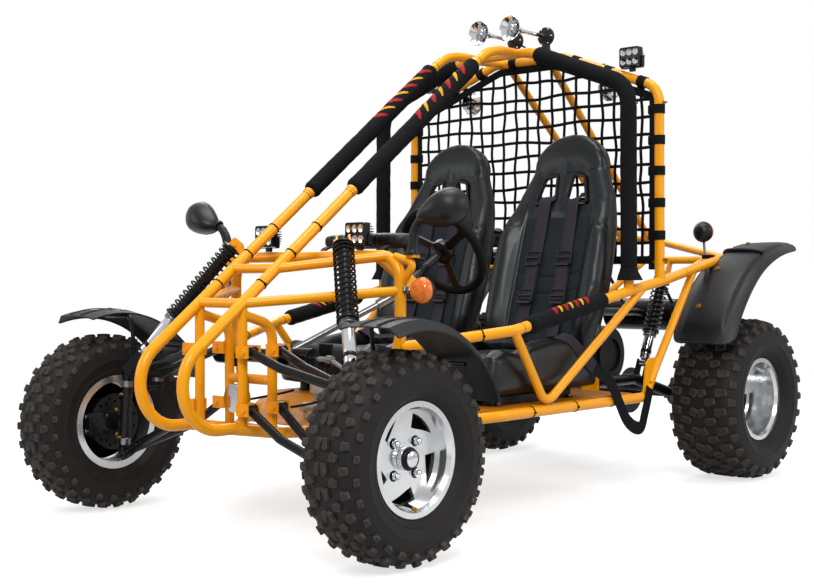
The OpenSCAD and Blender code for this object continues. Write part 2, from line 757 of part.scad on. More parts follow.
module knuckle() {
    color(dark) {
        difference() {
            union() {
                rod(kingpin_at(kingpin_low), kingpin_at(kingpin_high), kingpin_d);
                x_rod(kingpin_half, track_front / 2 - 62, y_front, z_front, 52);
                rod(kingpin_at(368), steer_arm_end, 20);
                for (a = [4, 48]) fender_stay(a);
            }
            rod(kingpin_at(kingpin_low - boss_step), kingpin_at(kingpin_high + boss_step), kingpin_bolt_d + 2 * fit_gap);
        }
        x_rod(kingpin_half + kingpin_d / 2 - 2, track_front / 2 + 20, y_front, z_front, spindle_d);
        translate(steer_arm_end) cylinder(d = 26, h = 16, center = true, $fn = 32);
        translate(steer_arm_end) cylinder(d = stud_d, h = 34, $fn = 24);
    }
    color("#A87B2D") difference() {
        translate([track_front / 2 - 74, y_front - brake_d / 2 - 18, z_front - 34]) cube([38, 46, 68]);
        x_rod(track_front / 2 - 60, track_front / 2 - 50, y_front, z_front, brake_d + 14);
    }
    color(dark) translate([track_front / 2 - 76, y_front - brake_d / 2 - 8, z_front - 18]) cube([10, brake_d / 2, 36]);
}

// A stay from the kingpin to the underside of the fender, at an angle behind the top of the wheel
module fender_stay(a) {
    r = fender_r - 2 - fit_gap - stay_d / 2;
    p = [y_front + r * sin(a), z_front + r * cos(a)];
    bent_tube([kingpin_at(372), [stay_x, y_front + 38, 380], [stay_x, y_front + 38 + a * 0.4, 450],
        [stay_x, p[0], p[1]], [track_front / 2 + 20, p[0], p[1]]], 16, stay_d);
}

module knuckle_left() { knuckle(); }
module knuckle_right() { mirror([1, 0, 0]) knuckle(); }

fender_r = 330;
stay_d = 12;
stay_x = kingpin_half + 2;

module front_fender() {
    r = fender_r;
    color(dark) {
        translate([track_front / 2, y_front, z_front]) rotate([90, 0, 90]) rotate([0, 0, 20])
            rotate_extrude(angle = 88, $fn = 96) translate([0, -96]) polygon([
                [r - 2, 0], [r + 2, 0], [r + 8, 30], [r + 11, 96], [r + 8, 168], [r - 16, 194], [r - 18, 190],
                [r + 4, 166], [r + 7, 96], [r + 4, 32], [r - 2, 4]]);
    }
}

module front_fender_left() { front_fender(); }
module front_fender_right() { mirror([1, 0, 0]) front_fender(); }

/* Tyres and rims */
// Half section of a tyre: radius and distance from its middle
function tyre_section(r, w) = let (c = r - lug_h, h = w / 2) [
    [bead_d / 2 + 1, h * 0.62], [mixed(flange_d / 2, c, 0.58), h], [c, h * 0.62]];

module tyre(d, w) {
    half = tyre_section(d / 2, w);
    other = [for (i = [len(half) - 1 : -1 : 0]) [half[i][0], -half[i][1]]];
    rotate([180 / tyre_facets, 0, 0]) rotate([0, 90, 0]) rotate_extrude($fn = tyre_facets)
        polygon(concat(half, other));
    // Lug rows: place across the tyre, width, length round it, lean, turn, shift round it
    rows = [
        [0, 0.26, 0.44, 0, 0, 0], [0.74, 0.24, 0.46, 12, 0, 0.5], [-0.74, 0.24, 0.46, -12, 0, 0.5]];
    step = 360 / lug_count;
    round_len = PI * d / lug_count;
    crown = d / 2 - lug_h;
    for (row = rows) for (i = [0 : lug_count - 1])
        rotate([(i + row[5]) * step, 0, 0])
            translate([row[0] * w / 2, 0, lookup(abs(row[0]), [[0, crown], [0.74, crown - 8]])])
                rotate([0, row[3], row[4]])
                    translate([-row[1] * w / 2, -row[2] * round_len / 2, -lug_sink])
                        cube([row[1] * w, row[2] * round_len, lug_h + lug_sink]);
}

function window_shape(r0, r1) = concat(
    arc(r1, -26, 20, 5), [for (i = [0 : 5]) let (t = i / 5, a = mixed(18, -24, t))
        mixed(r0, r1 - 4, t * t) * [cos(a), sin(a)]]);

// A rim on the X axis, its outer flange towards +X
module rim(w, dish) {
    h = w / 2 * 0.7;
    bead = bead_d / 2;
    difference() {
        union() {
            rotate([0, 90, 0]) rotate_extrude($fn = 96) polygon([
                [bead - rim_wall, -h - 5], [flange_d / 2, -h - 5], [flange_d / 2, -h], [bead, -h], [bead, h],
                [flange_d / 2, h], [flange_d / 2, h + 5], [flange_d / 2 - 14, h + 5], [bead - rim_wall, h - 6]]);
            translate([h + 5 - dish - disc_t, 0, 0]) rotate([0, 90, 0]) cylinder(r = bead - rim_wall + 1, h = disc_t, $fn = 96);
        }
        translate([h + 5 - dish - disc_t - 1, 0, 0]) rotate([0, 90, 0]) {
            for (i = [0 : window_count - 1]) rotate([0, 0, i * 360 / window_count])
                linear_extrude(disc_t + 2) polygon(window_shape(76, 112));
            cylinder(d = 58, h = disc_t + 2, $fn = 48);
            for (i = [0 : 3]) rotate([0, 0, 45 + i * 90]) translate([nut_circle_d / 2, 0, 0])
                cylinder(d = 22, h = disc_t + 2, $fn = 32);
        }
    }
}

// Hub with the brake disc, wheel nuts and centre cap
module front_hub() {
    face = tyre_front_w / 2 * 0.7 + 5 - front_dish;
    color(metal) difference() {
        rotate([0, 90, 0]) {
            translate([0, 0, -30]) cylinder(d = 56, h = face - disc_t + 22, $fn = 48);
            translate([0, 0, face - disc_t - 10]) cylinder(d = nut_circle_d + 30, h = 10 - fit_gap, $fn = 64);
            translate([0, 0, -60]) cylinder(d = 90, h = 34, $fn = 64);
            translate([0, 0, -57]) cylinder(d = brake_d, h = 4, $fn = 96);
            translate([0, 0, face - disc_t - 1]) cylinder(d = 57, h = disc_t + 20, $fn = 48);
            translate([0, 0, face + 18]) cylinder(d = 46, h = 10, $fn = 48);
            for (i = [0 : 3]) rotate([0, 0, 45 + i * 90]) translate([nut_circle_d / 2, 0, 0]) {
                translate([0, 0, face - disc_t - 1]) cylinder(d = 17, h = disc_t + 3, $fn = 24);
                translate([0, 0, face + 2]) sphere(d = 17, $fn = 24);
            }
        }
        translate([-100, 0, 0]) rotate([0, 90, 0]) cylinder(d = spindle_d + 2 * fit_gap, h = 122, $fn = 48);
        translate([-70, 0, 0]) rotate([0, 90, 0]) cylinder(d = 52 + 4 * fit_gap, h = 10, $fn = 48);
    }
}

module at_front_wheel() { translate([track_front / 2, y_front, z_front]) children(); }

module tyre_front_left() { color(rubber) at_front_wheel() tyre(tyre_front_d, tyre_front_w); }
module tyre_front_right() { mirror([1, 0, 0]) tyre_front_left(); }
module rim_front_left() { color(metal) at_front_wheel() rim(tyre_front_w, front_dish); }
module rim_front_right() { mirror([1, 0, 0]) rim_front_left(); }
module hub_front_left() { at_front_wheel() front_hub(); }
module hub_front_right() { mirror([1, 0, 0]) hub_front_left(); }

module at_rear_wheels() { both() translate([track_rear / 2, y_rear, z_rear]) children(); }

module rear_tyres() { color(rubber) at_rear_wheels() tyre(tyre_rear_d, tyre_rear_w); }
module rear_rims() { color(metal) at_rear_wheels() rim(tyre_rear_w, rear_dish); }

module rear_axle() {
    face = tyre_rear_w / 2 * 0.7 + 5 - rear_dish;
    hub_x = track_rear / 2 + face;
    color("#3A3C3F") {
        x_rod(-hub_x - 8, hub_x + 8, y_rear, z_rear, axle_d);
        both() {
            x_rod(hub_x - disc_t - 46, hub_x - disc_t - 10, y_rear, z_rear, 70);
            x_rod(hub_x - disc_t - 12, hub_x - disc_t - fit_gap, y_rear, z_rear, nut_circle_d + 30);
            x_rod(hub_x - disc_t - 1, hub_x + 14, y_rear, z_rear, 57);
            for (i = [0 : 3]) translate([hub_x - disc_t - 1, y_rear, z_rear]) rotate([45 + i * 90, 0, 0])
                translate([0, 0, nut_circle_d / 2]) rotate([0, 90, 0]) cylinder(d = 17, h = disc_t + 12, $fn = 24);
        }
        x_rod(-95, -89, y_rear, z_rear, 170);
        x_rod(-110, -80, y_rear, z_rear, 60);
        x_rod(120, 124, y_rear, z_rear, 170);
        x_rod(104, 134, y_rear, z_rear, 60);
    }
}

/* Steering */
module steering_rack() {
    color(dark) {
        difference() {
            union() {
                x_rod(-rack_half, rack_half, rack_y, rack_z, 40);
                both() {
                    for (i = [0 : 5]) x_rod(rack_half - 2 + i * 11, rack_half + 5 + i * 11, rack_y, rack_z, 56);
                    x_rod(rack_half - 2, boot_end, rack_y, rack_z, 46);
                    translate([nose_half - 3, second_y + brace_od / 2 + fit_gap, rack_z - 32])
                        cube([6, rack_y - second_y - brace_od / 2, 30]);
                }
                rod(pinion, mixed(pinion, column_low, 0.11), 40);
            }
            x_rod(-boot_end - 2, boot_end + 2, rack_y, rack_z, rack_bar_d + 2 * fit_gap);
            rod(mixed(pinion, column_low, 0.06), column_low, shaft_d + 2 * fit_gap);
        }
    }
}

wheel_axis = [0, cos(wheel_tilt), sin(wheel_tilt)];
column_low = wheel_c - wheel_axis * 240;
column_d = 22;
shaft_d = 18;
pinion = [nose_half - 26, rack_y, rack_z];
rack_half = 136;
boot_end = 198;
rack_bar_d = 14;
rack_ball_d = 22;
rack_ball_x = 262;
holder_at = wheel_c - wheel_axis * 186;

// Sleeve that carries the steering column, on a brace from the dash hoop
module column_holder() {
    rod(holder_at - wheel_axis * 24, holder_at + wheel_axis * 24, column_d + 16);
    rod([driver_x, dash_y, dash_z], holder_at, 22);
}

module column_bore() {
    rod(wheel_c, column_low, column_d + 2 * fit_gap);
}

// Shaft between the column and the rack, with a joint at its upper end
module steering_shaft() {
    dir = unit(pinion - column_low);
    color(dark) {
        rod(column_low + dir * 30, mixed(pinion, column_low, 0.065), shaft_d);
        rod(column_low + dir * 14, column_low + dir * 62, shaft_d + 12);
    }
}

module steering_wheel() {
    color(dark) {
        aim(wheel_c, wheel_axis) {
            rotate_extrude($fn = 72) translate([wheel_d / 2 - 14, 0]) circle(d = 28, $fn = 20);
            for (a = [90, 210, 330]) rotate([0, 0, a]) translate([0, -16, -5]) cube([wheel_d / 2 - 14, 32, 8]);
            translate([0, 0, -14]) cylinder(d = 74, h = 26, $fn = 40);
        }
        rod(wheel_c, column_low + wheel_axis * 16, column_d);
    }
}

// The rods slide with the rack, so the eye leaves room for the small swing of the steering arm
rod_eye = steer_arm_end + [0, -5.5, 24];
eye_bore = stud_d + 15;
eye_d = eye_bore + 13;

function on_side(p, s) = [s * p[0], p[1], p[2]];

module tie_rods() {
    color(metal) {
        difference() {
            union() {
                x_rod(-rack_ball_x - 2, rack_ball_x + 2, rack_y, rack_z, rack_bar_d);
                for (s = [-1, 1]) {
                    ball = [s * rack_ball_x, rack_y, rack_z];
                    x_rod(ball[0] - 9, ball[0] + 9, rack_y, rack_z, rack_ball_d);
                    rod(ball, on_side(rod_eye, s), 13);
                    translate(on_side(rod_eye, s)) rotate(90) cylinder(d = eye_d, h = 12, center = true, $fn = 32);
                }
            }
            for (s = [-1, 1])
                translate(on_side(rod_eye, s)) rotate(90) cylinder(d = eye_bore, h = 40, center = true, $fn = 32);
        }
    }
}

module dash_cowl() {
    color(dark) {
        translate([-20, dash_y + 44, dash_z + 22]) cube([320, 110, 46]);
        for (x = [20, 250]) translate([x, dash_y - 12, dash_z + tube_od / 2 + fit_gap]) cube([26, 70, 8]);
    }
}

pedal_y = y_front + 190;

// Top of the floor pan at a given Y, ahead of the seats
function pan_z(y) = mixed(nose_z - 26, floor_z, (y - pan_y - 40) / (y_front + 590 - pan_y - 40))
    + tube_od / 2 + pan_gap + pan_t;

module pedals() {
    color(dark) {
        for (x = [driver_x - 60, driver_x + 30]) {
            rod([x, pedal_y, 330], [x, pedal_y - 20, 470], 12);
            translate([x - 24, pedal_y - 24, 456]) cube([48, 8, 66]);
        }
        x_rod(driver_x - 90, driver_x + 60, pedal_y, 330, 16);
        for (x = [driver_x - 86, driver_x + 50]) translate([x, pedal_y - 12, pan_z(pedal_y + 12) + fit_gap])
            cube([8, 24, 338 - pan_z(pedal_y + 12)]);
    }
}

module brake_master() {
    y = pedal_y + 20;
    color(metal) {
        rod([50, y, 334], [50, y + 110, 334], 26);
        rod([50, y + 60, 340], [50, y + 60, 374], 22);
        for (d = [14, 86]) translate([42, y + d, pan_z(y + d + 12) + fit_gap]) cube([16, 12, 328 - pan_z(y + d + 12)]);
    }
    color("#E8E8E2") rod([50, y + 60, 372], [50, y + 60, 420], 40);
}

module disc_horn() {
    color(metal) {
        rod([0, second_y - 64, 372], [0, second_y - 34, 372], 78);
        translate([-10, second_y - 36, 360]) cube([20, 36 - brace_od / 2 - fit_gap, 74]);
    }
}

/* Lamps and horns */
// A work lamp facing -Y with its foot at the origin
module lamp_pod() {
    color(dark) {
        translate([-lamp_w / 2, -22, 14]) cube([lamp_w, 26, lamp_w * 0.86]);
        translate([0, 2, 14 + lamp_w * 0.43]) rotate([-90, 0, 0]) cylinder(d1 = lamp_w * 0.94, d2 = lamp_w * 0.6, h = 34, $fn = 48);
        translate([-12, -6, 0]) cube([24, 14, 16]);
    }
    color(metal) for (i = [-1 : 1]) for (j = [0, 1])
        translate([i * lamp_w * 0.27, -21.5, 14 + lamp_w * (0.27 + 0.32 * j)]) rotate([90, 0, 0])
            cylinder(d = lamp_w * 0.22, h = 2.5, $fn = 24);
}

module lamp_pods() {
    both() {
        translate([192, dash_y, dash_z + tube_od / 2 + fit_gap]) lamp_pod();
        translate([430, rear_hoop_y, mixed(hoop_corner_z + 10, roof_z + 6, 0.27) + 20]) lamp_pod();
    }
}

module round_lamps() {
    color("#DDE3E6") both() {
        translate([300, rear_hoop_y + 20, roof_z - 110]) rotate([-90, 0, 0]) cylinder(d1 = 40, d2 = 88, h = 46, $fn = 48);
        translate([290, rear_hoop_y + tube_od / 2 + fit_gap, roof_z - 122]) cube([20, plate_t, 78]);
    }
}

// A turn lamp on the X axis with its lens outwards
module turn_lamp() {
    color("#D9651C") rotate([90, 0, 0]) intersection() {
        sphere(d = turn_d, $fn = 40);
        cylinder(d = turn_d, h = turn_d, $fn = 40);
    }
    color(dark) rotate([-90, 0, 0]) intersection() {
        sphere(d = turn_d, $fn = 40);
        translate([0, 0, -1]) cylinder(d = turn_d, h = turn_d * 0.42, $fn = 40);
    }
}

module turn_lamps() {
    both() {
        translate([dash_half + 75, dash_y + 10, 670]) turn_lamp();
        translate([460, y_rear - 66, 862]) rotate([0, 0, 180]) turn_lamp();
    }
    color(dark) both() {
        x_rod(dash_half + tube_od / 2 + fit_gap, dash_half + 60, dash_y, 670, 14);
        rod([460, y_rear - 50, 776], [460, y_rear - 62, 836], 8);
        difference() {
            translate([450, y_rear - 62, 766]) cube([44, 24, 16]);
            arm_rail_clear();
        }
    }
}

module air_horn() {
    color(metal) rotate([90, 0, 0]) {
        cylinder(d = 14, h = 120, $fn = 28);
        translate([0, 0, 100]) rotate_extrude($fn = 56) polygon(concat(
            [[0, 0], [7, 0]], [for (i = [0 : 6]) [7 + (bell_d / 2 - 7) * pow(i / 6, 2.4), 14 + i * 13]], [[0, 92]]));
    }
    color(dark) {
        translate([0, 0, 0]) rotate([-90, 0, 0]) cylinder(d = 62, h = 30, $fn = 48);
        translate([-12, 2, -44]) cube([24, 20, 26]);
    }
}

horn_places = [20, 150];

module air_horns() {
    for (x = horn_places) translate([x, rear_hoop_y - 110, roof_z + 62]) air_horn();
    color(dark) difference() {
        translate([horn_places[0] - 14, rear_hoop_y - 112, roof_z + 14]) cube([horn_places[1] - horn_places[0] + 28, 28, 6]);
        clear_of([nose_half + 20, rear_hoop_y, roof_z + 6], [nose_half + 20, hoop_y, roof_z], brace_od);
    }
}

// Egg outline of a mirror's head
mirror_outline = [for (a = [0 : 10 : 350]) [(a > 90 && a < 270 ? 70 : 76) * cos(a), 52 * sin(a)]];

module mirrors() {
    color(dark) both() {
        bent_tube([[dash_half + 43, dash_y + 3, mirror_seat_z + 2], [dash_half + 50, dash_y + 3, dash_z + 60],
            [498, dash_y - 7, 870]], 40, 24);
        translate([498, dash_y - 7, 887]) rotate([90, 0, 12]) {
            linear_extrude(50, center = true) polygon(mirror_outline);
            linear_extrude(48, scale = 0.66) polygon(mirror_outline);
        }
    }
}

// Side view of a rear fender, Y and Z from the rear axle
fender_side = [[-275, 200], [-232, 290], [-165, 375], [-83, 447], [5, 495], [110, 528], [235, 546]];

module rear_fenders() {
    color(dark) both() {
        difference() {
            translate([435, y_rear, z_rear]) rotate([90, 0, 90]) linear_extrude(245) polygon(band(fender_side, -4));
            arm_rail_clear();
            translate(arm_rail[4]) sphere(d = tube_od + 2 * fit_gap, $fn = 28);
            clear_of(arm_rail[4], rear_peak, brace_od);
            clear_of([0, y_rear + 5, 764], [arm_rail[4][0], y_rear + 5, 764], brace_od);
            clear_of(corner_brace[0], corner_brace[1], brace_od - 4);
            // Notch between the corner's tubes
            translate([430, y_rear + 5, 760]) cube([48, 44, 40]);
        }
    }
}

nose_loops();
front_frame();
dash_frame();
floor_frame();
floor_pan();
side_frame_left();
side_frame_right();
roof_rails();
main_hoop();
rear_hoop();
rear_frame();
tube_pads();
hoop_pad();
seat_left();
seat_right();
harness();
safety_net();
engine();
muffler();
swing_arm();
rear_shocks();
steering_rack();
steering_shaft();
dash_cowl();
pedals();
brake_master();
disc_horn();
lamp_pods();
round_lamps();
turn_lamps();
air_horns();
mirrors();
rear_fenders();
a_arms();
front_shocks();
steering_wheel();
tie_rods();
knuckle_left();
knuckle_right();
front_fender_left();
front_fender_right();
tyre_front_left();
tyre_front_right();
rim_front_left();
rim_front_right();
hub_front_left();
hub_front_right();
rear_axle();
rear_tyres();
rear_rims();
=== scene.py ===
"""An off-road go-kart with two seats, drawn round its CAD frame.

Lengths are metres in the axes of the CAD frame: the front is -Y, the driver's side is +X and up is +Z.
A piece either shows its CAD node with a finish on it, or stands for that node with a fuller form.
"""

import logging
import math
from collections.abc import Callable, Sequence
from dataclasses import dataclass
from enum import Enum

import bpy
import numpy as np
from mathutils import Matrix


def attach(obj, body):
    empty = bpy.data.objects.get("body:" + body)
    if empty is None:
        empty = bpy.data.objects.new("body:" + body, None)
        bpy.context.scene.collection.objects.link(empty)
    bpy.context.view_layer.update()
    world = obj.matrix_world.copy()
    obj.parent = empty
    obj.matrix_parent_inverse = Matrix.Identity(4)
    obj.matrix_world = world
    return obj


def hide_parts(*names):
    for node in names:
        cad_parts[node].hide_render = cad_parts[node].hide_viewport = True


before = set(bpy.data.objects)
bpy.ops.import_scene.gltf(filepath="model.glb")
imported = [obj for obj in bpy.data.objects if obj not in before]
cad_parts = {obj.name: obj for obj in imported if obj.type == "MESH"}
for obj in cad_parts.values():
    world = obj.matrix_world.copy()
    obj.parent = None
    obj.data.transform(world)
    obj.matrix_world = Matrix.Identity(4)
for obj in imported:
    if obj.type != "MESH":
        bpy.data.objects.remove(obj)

import openvdb
from mathutils import Matrix

log = logging.getLogger("kart")

Array = np.ndarray
TAU = 2 * math.pi
FRONT_AXLE_Y = -0.9215
REAR_AXLE_Y = 0.9085
TUBE_R = 0.016
FLOOR_Z = -0.0004
MIRROR = np.diag([-1.0, 1.0, 1.0, 1.0])
SAME = np.eye(4)


# Shells: points and faces


@dataclass
class Shell:
    """Corner points and the faces over them, all with one finish.

    Attributes:
        points: Corner points, one row each.
        faces: Arrays of corner numbers, one array for each count of corners.
        coords: Surface coordinates of each face corner in metres, shaped as faces is.
        finish: Place of the finish in the piece's list.
    """

    points: Array
    faces: list[Array]
    coords: list[Array]
    finish: int = 0

    def outward(self) -> "Shell":
        """Turns the faces outwards, by the sign of the volume that their corner fans enclose.

        Returns:
            The same shell.
        """
        volume = 0.0
        for block in self.faces:
            first = self.points[block[:, 0]]
            for k in range(1, block.shape[1] - 1):
                other = np.cross(self.points[block[:, k]], self.points[block[:, k + 1]])
                volume += float(np.einsum("ij,ij->i", first, other).sum())
        if volume < 0:
            self.faces = [block[:, ::-1] for block in self.faces]
            self.coords = [block[:, ::-1] for block in self.coords]
        return self

    def at(self, places: Array | Sequence[Array]) -> "Shell":
        """Copies the shell to each place in turn.

        Args:
            places: One or more 4x4 places. A mirrored place has its faces turned.

        Returns:
            One shell that holds every copy.
        """
        grid = np.asarray(places, float).reshape(-1, 4, 4)
        turn = np.linalg.det(grid[:, :3, :3]) < 0
        count = len(self.points)
        points = np.einsum("kij,nj->kni", grid[:, :3, :3], self.points) + grid[:, None, :3, 3]
        step = np.arange(len(grid))[:, None, None] * count
        faces, coords = [], []
        for block, flat in zip(self.faces, self.coords):
            copies = block[None] + step
            copies = np.where(turn[:, None, None], copies[:, :, ::-1], copies)
            flats = np.repeat(flat[None], len(grid), 0)
            flats = np.where(turn[:, None, None, None], flats[:, :, ::-1], flats)
            faces.append(copies.reshape(-1, block.shape[1]))
            coords.append(flats.reshape(-1, block.shape[1], 2))
        return Shell(points.reshape(-1, 3), faces, coords, self.finish)

    def both(self) -> "Shell":
        """The shell with its mirror image across the middle of the kart.

        Returns:
            One shell that holds both.
        """
        return self.at([SAME, MIRROR])


def unit(v: Array) -> Array:
    """Scales vectors to length one.

    Args:
        v: Vectors in the last axis.

    Returns:
        The unit vectors.
    """
    v = np.asarray(v, float)
    return v / np.maximum(np.linalg.norm(v, axis=-1, keepdims=True), 1e-12)


def place(at: Sequence[float], z: Sequence[float] = (0, 0, 1), x: Sequence[float] = (1, 0, 0)) -> Array:
    """A 4x4 place.

    Args:
        at: Its origin.
        z: Direction of its Z axis.
        x: Direction that its X axis leans to.

    Returns:
        The place.
    """
    w = unit(z)
    lean = np.asarray(x, float)
    if abs(unit(lean) @ w) > 0.98:
        lean = np.array([0.0, 1.0, 0.1])
    u = unit(lean - (lean @ w) * w)
    out = np.eye(4)
    out[:3, :3] = np.stack([u, np.cross(w, u), w], 1)
    out[:3, 3] = at
    return out


def turns(count: int, radius: float = 0.0, start: float = 0.0, height: float = 0.0) -> Array:
    """Places spread evenly round the Z axis.

    Args:
        count: How many.
        radius: Distance of each from the axis.
        start: Angle of the first in degrees.
        height: Their height.

    Returns:
        The places, one 4x4 block each, X pointing away from the axis.
    """
    a = np.radians(start) + np.arange(count) * TAU / count
    out = np.tile(np.eye(4), (count, 1, 1))
    out[:, 0, 0], out[:, 0, 1] = np.cos(a), -np.sin(a)
    out[:, 1, 0], out[:, 1, 1] = np.sin(a), np.cos(a)
    out[:, 0, 3], out[:, 1, 3], out[:, 2, 3] = radius * np.cos(a), radius * np.sin(a), height
    return out


def lengths(points: Array) -> Array:
    """Distance along a line of points.

    Args:
        points: The line's points.

    Returns:
        The distance of each point from the first, along the line.
    """
    return np.concatenate([[0.0], np.cumsum(np.linalg.norm(np.diff(points, axis=0), axis=1))])


def skin(rows: Array, ring: bool = True, loop: bool = False, caps: bool = True, finish: int = 0) -> Shell:
    """Covers rows of points with four-cornered faces.

    Args:
        rows: Points by row, place in the row, and axis.
        ring: Whether a row's last point joins its first.
        loop: Whether the last row joins the first.
        caps: Whether the first and last rows are closed by a face each.
        finish: Place of the finish in the piece's list.

    Returns:
        The shell, faces outwards where it is closed.
    """
    rows = np.asarray(rows, float)
    m, n = rows.shape[:2]
    i = np.arange(m if loop else m - 1)[:, None]
    j = np.arange(n if ring else n - 1)[None]
    quads = np.stack(np.broadcast_arrays(
        i * n + j, i * n + (j + 1) % n, (i + 1) % m * n + (j + 1) % n, (i + 1) % m * n + j), -1)
    middle = rows.mean(1)
    along = lengths(np.concatenate([middle, middle[:1]]) if loop else middle)
    if along[-1] < 1e-6:
        along = lengths(rows[:, 0])
    wide = rows[np.linalg.norm(rows - middle[:, None], axis=2).sum(1).argmax()]
    across = lengths(np.concatenate([wide, wide[:1]]))
    a0, a1 = along[i], along[np.minimum(i + 1, len(along) - 1)]
    b0, b1 = across[j], across[j + 1]
    flat = np.stack([np.stack(np.broadcast_arrays(p, q), -1) for p, q in ((a0, b0), (a0, b1), (a1, b1), (a1, b0))], 2)
    faces = [quads.reshape(-1, 4)]
    coords = [flat.reshape(-1, 4, 2)]
    if caps and ring and not loop:
        for start, order in ((0, slice(None, None, -1)), ((m - 1) * n, slice(None))):
            cap = np.arange(n)[order] + start
            faces.append(cap[None])
            coords.append(np.zeros((1, n, 2)))
    shell = Shell(rows.reshape(-1, 3), faces, coords, finish)
    return shell.outward() if ring and (caps or loop) else shell


def sweep(path: Array, profile: Array, across: Array, closed: bool = False, size: Array | float = 1.0,
          finish: int = 0) -> Shell:
    """Draws a profile along a path.

    Args:
        path: Points of the path.
        profile: Closed outline, as pairs to the side of the path and across it.
        across: Direction of the profile's second axis, one for all or one a point.
        closed: Whether the path joins its own start.
        size: Scale of the profile, one for all or one a point.
        finish: Place of the finish in the piece's list.

    Returns:
        The closed shell.
    """
    path = np.asarray(path, float)
    if closed:
        ahead = np.roll(path, -1, 0) - np.roll(path, 1, 0)
    else:
        ahead = np.gradient(path, axis=0)
    t = unit(ahead)
    side = unit(np.cross(t, np.broadcast_to(np.asarray(across, float), path.shape)))
    up = np.cross(side, t)
    grown = np.broadcast_to(np.asarray(size, float).reshape(-1, 1, 1), (len(path), 1, 1))
    rows = path[:, None] + grown * (profile[None, :, :1] * side[:, None] + profile[None, :, 1:] * up[:, None])
    return skin(rows, loop=closed, caps=not closed, finish=finish)


def lathe(profile: Sequence[Sequence[float]], at: Array = SAME, steps: int = 48, closed: bool = False,
          finish: int = 0) -> Shell:
    """Turns a profile round the Z axis of a place.

    Args:
        profile: Pairs of radius and height.
        at: The place.
        steps: Faces round the axis.
        closed: Whether the profile is a closed outline beside the axis.
        finish: Place of the finish in the piece's list.

    Returns:
        The closed shell.
    """
    line = np.maximum(np.asarray(profile, float), [[1e-5, -1e9]])
    a = np.arange(steps) / steps * TAU
    rows = np.stack([
        line[:, :1] * np.cos(a), line[:, :1] * np.sin(a), np.repeat(line[:, 1:], steps, 1)], -1)
    return skin(rows, loop=closed, caps=not closed, finish=finish).at(at).outward()


def band(inner: float, outer: float, half: float, rim: float) -> list[tuple[float, float]]:
    """Profile of a ring for lathe.

    Args:
        inner: Its inner radius.
        outer: Its outer radius.
        half: Half its width at the inner radius.
        rim: Half its width at the outer radius.

    Returns:
        Pairs of radius and height.
    """
    return [(inner, -half), (outer, -rim), (outer, rim), (inner, half)]


def circle(radius: float, count: int, start: float = 0.0) -> Array:
    """Points round a circle.

    Args:
        radius: Its radius.
        count: How many points.
        start: Angle of the first in degrees.

    Returns:
        Pairs, one a point.
    """
    a = np.radians(start) + np.arange(count) / count * TAU
    return radius * np.stack([np.cos(a), np.sin(a)], 1)


def oblong(w: float, h: float, r: float, steps: int = 3) -> Array:
    """A rectangle with round corners.

    Args:
        w: Width.
        h: Height.
        r: Corner radius.
        steps: Faces in a corner.

    Returns:
        Pairs, anticlockwise.
    """
    a = np.arange(4)[:, None] * TAU / 4 + np.linspace(0, TAU / 4, steps + 1)[None]
    centre = np.array([[1, 1], [-1, 1], [-1, -1], [1, -1]]) * [w / 2 - r, h / 2 - r]
    return (centre[:, None] + r * np.stack([np.cos(a), np.sin(a)], -1)).reshape(-1, 2)


def inset(outline: Array, depth: float) -> Array:
    """Moves an anticlockwise outline inwards, each corner along the mean of its edges' normals.

    Args:
        outline: Pairs round the outline.
        depth: How far.

    Returns:
        The moved pairs.
    """
    ahead = unit(np.roll(outline, -1, 0) - outline)
    back = np.roll(ahead, 1, 0)
    normal = np.stack([-(ahead + back)[:, 1], (ahead + back)[:, 0]], 1)
    reach = 2 / np.maximum((normal ** 2).sum(1, keepdims=True), 0.6)
    return outline + depth * normal * reach


def slab(outline: Array, low: float, high: float, edge: float, at: Array | Sequence[Array] = SAME,
         finish: int = 0) -> Shell:
    """A plate with bevelled edges.

    Args:
        outline: Anticlockwise pairs in the place's X and Y.
        low: Its lower face.
        high: Its upper face.
        edge: Size of the bevel.
        at: One or more places.
        finish: Place of the finish in the piece's list.

    Returns:
        The closed shell.
    """
    outline = np.asarray(outline, float)
    small = inset(outline, edge)
    levels = ((small, low), (outline, low + edge), (outline, high - edge), (small, high))
    rows = np.stack([np.column_stack([o, np.full(len(o), z)]) for o, z in levels])
    return skin(rows, finish=finish).at(at)


def flowing(points: Sequence[Sequence[float]], steps: int = 10) -> Array:
    """A smooth line through points, by cubic pieces with tangents along their neighbours.

    Args:
        points: The points.
        steps: Pieces between two of them.

    Returns:
        The points of the smooth line.
    """
    p = np.asarray(points, float)
    tangent = np.gradient(p, axis=0)
    t = np.linspace(0, 1, steps, endpoint=False)[None, :, None]
    a, b, u, v = p[:-1, None], p[1:, None], tangent[:-1, None], tangent[1:, None]
    line = (2 * t ** 3 - 3 * t ** 2 + 1) * a + (t ** 3 - 2 * t ** 2 + t) * u + (3 * t ** 2 - 2 * t ** 3) * b \
        + (t ** 3 - t ** 2) * v
    return np.concatenate([line.reshape(-1, p.shape[1]), p[-1:]])


def rounded(points: Sequence[Sequence[float]], radius: float, steps: int = 8) -> Array:
    """A line of straight runs whose corners are rounded by a parabola.

    Args:
        points: The corner points.
        radius: How far from a corner its curve starts.
        steps: Pieces in a curve.

    Returns:
        The points of the line.
    """
    p = np.asarray(points, float)
    t = np.linspace(0, 1, steps + 1)[:, None]
    parts = [p[:1]]
    for before, here, after in zip(p[:-2], p[1:-1], p[2:]):
        a = here + unit(before - here) * radius
        b = here + unit(after - here) * radius
        parts.append((1 - t) ** 2 * a + 2 * t * (1 - t) * here + t ** 2 * b)
    return np.concatenate([*parts, p[-1:]])


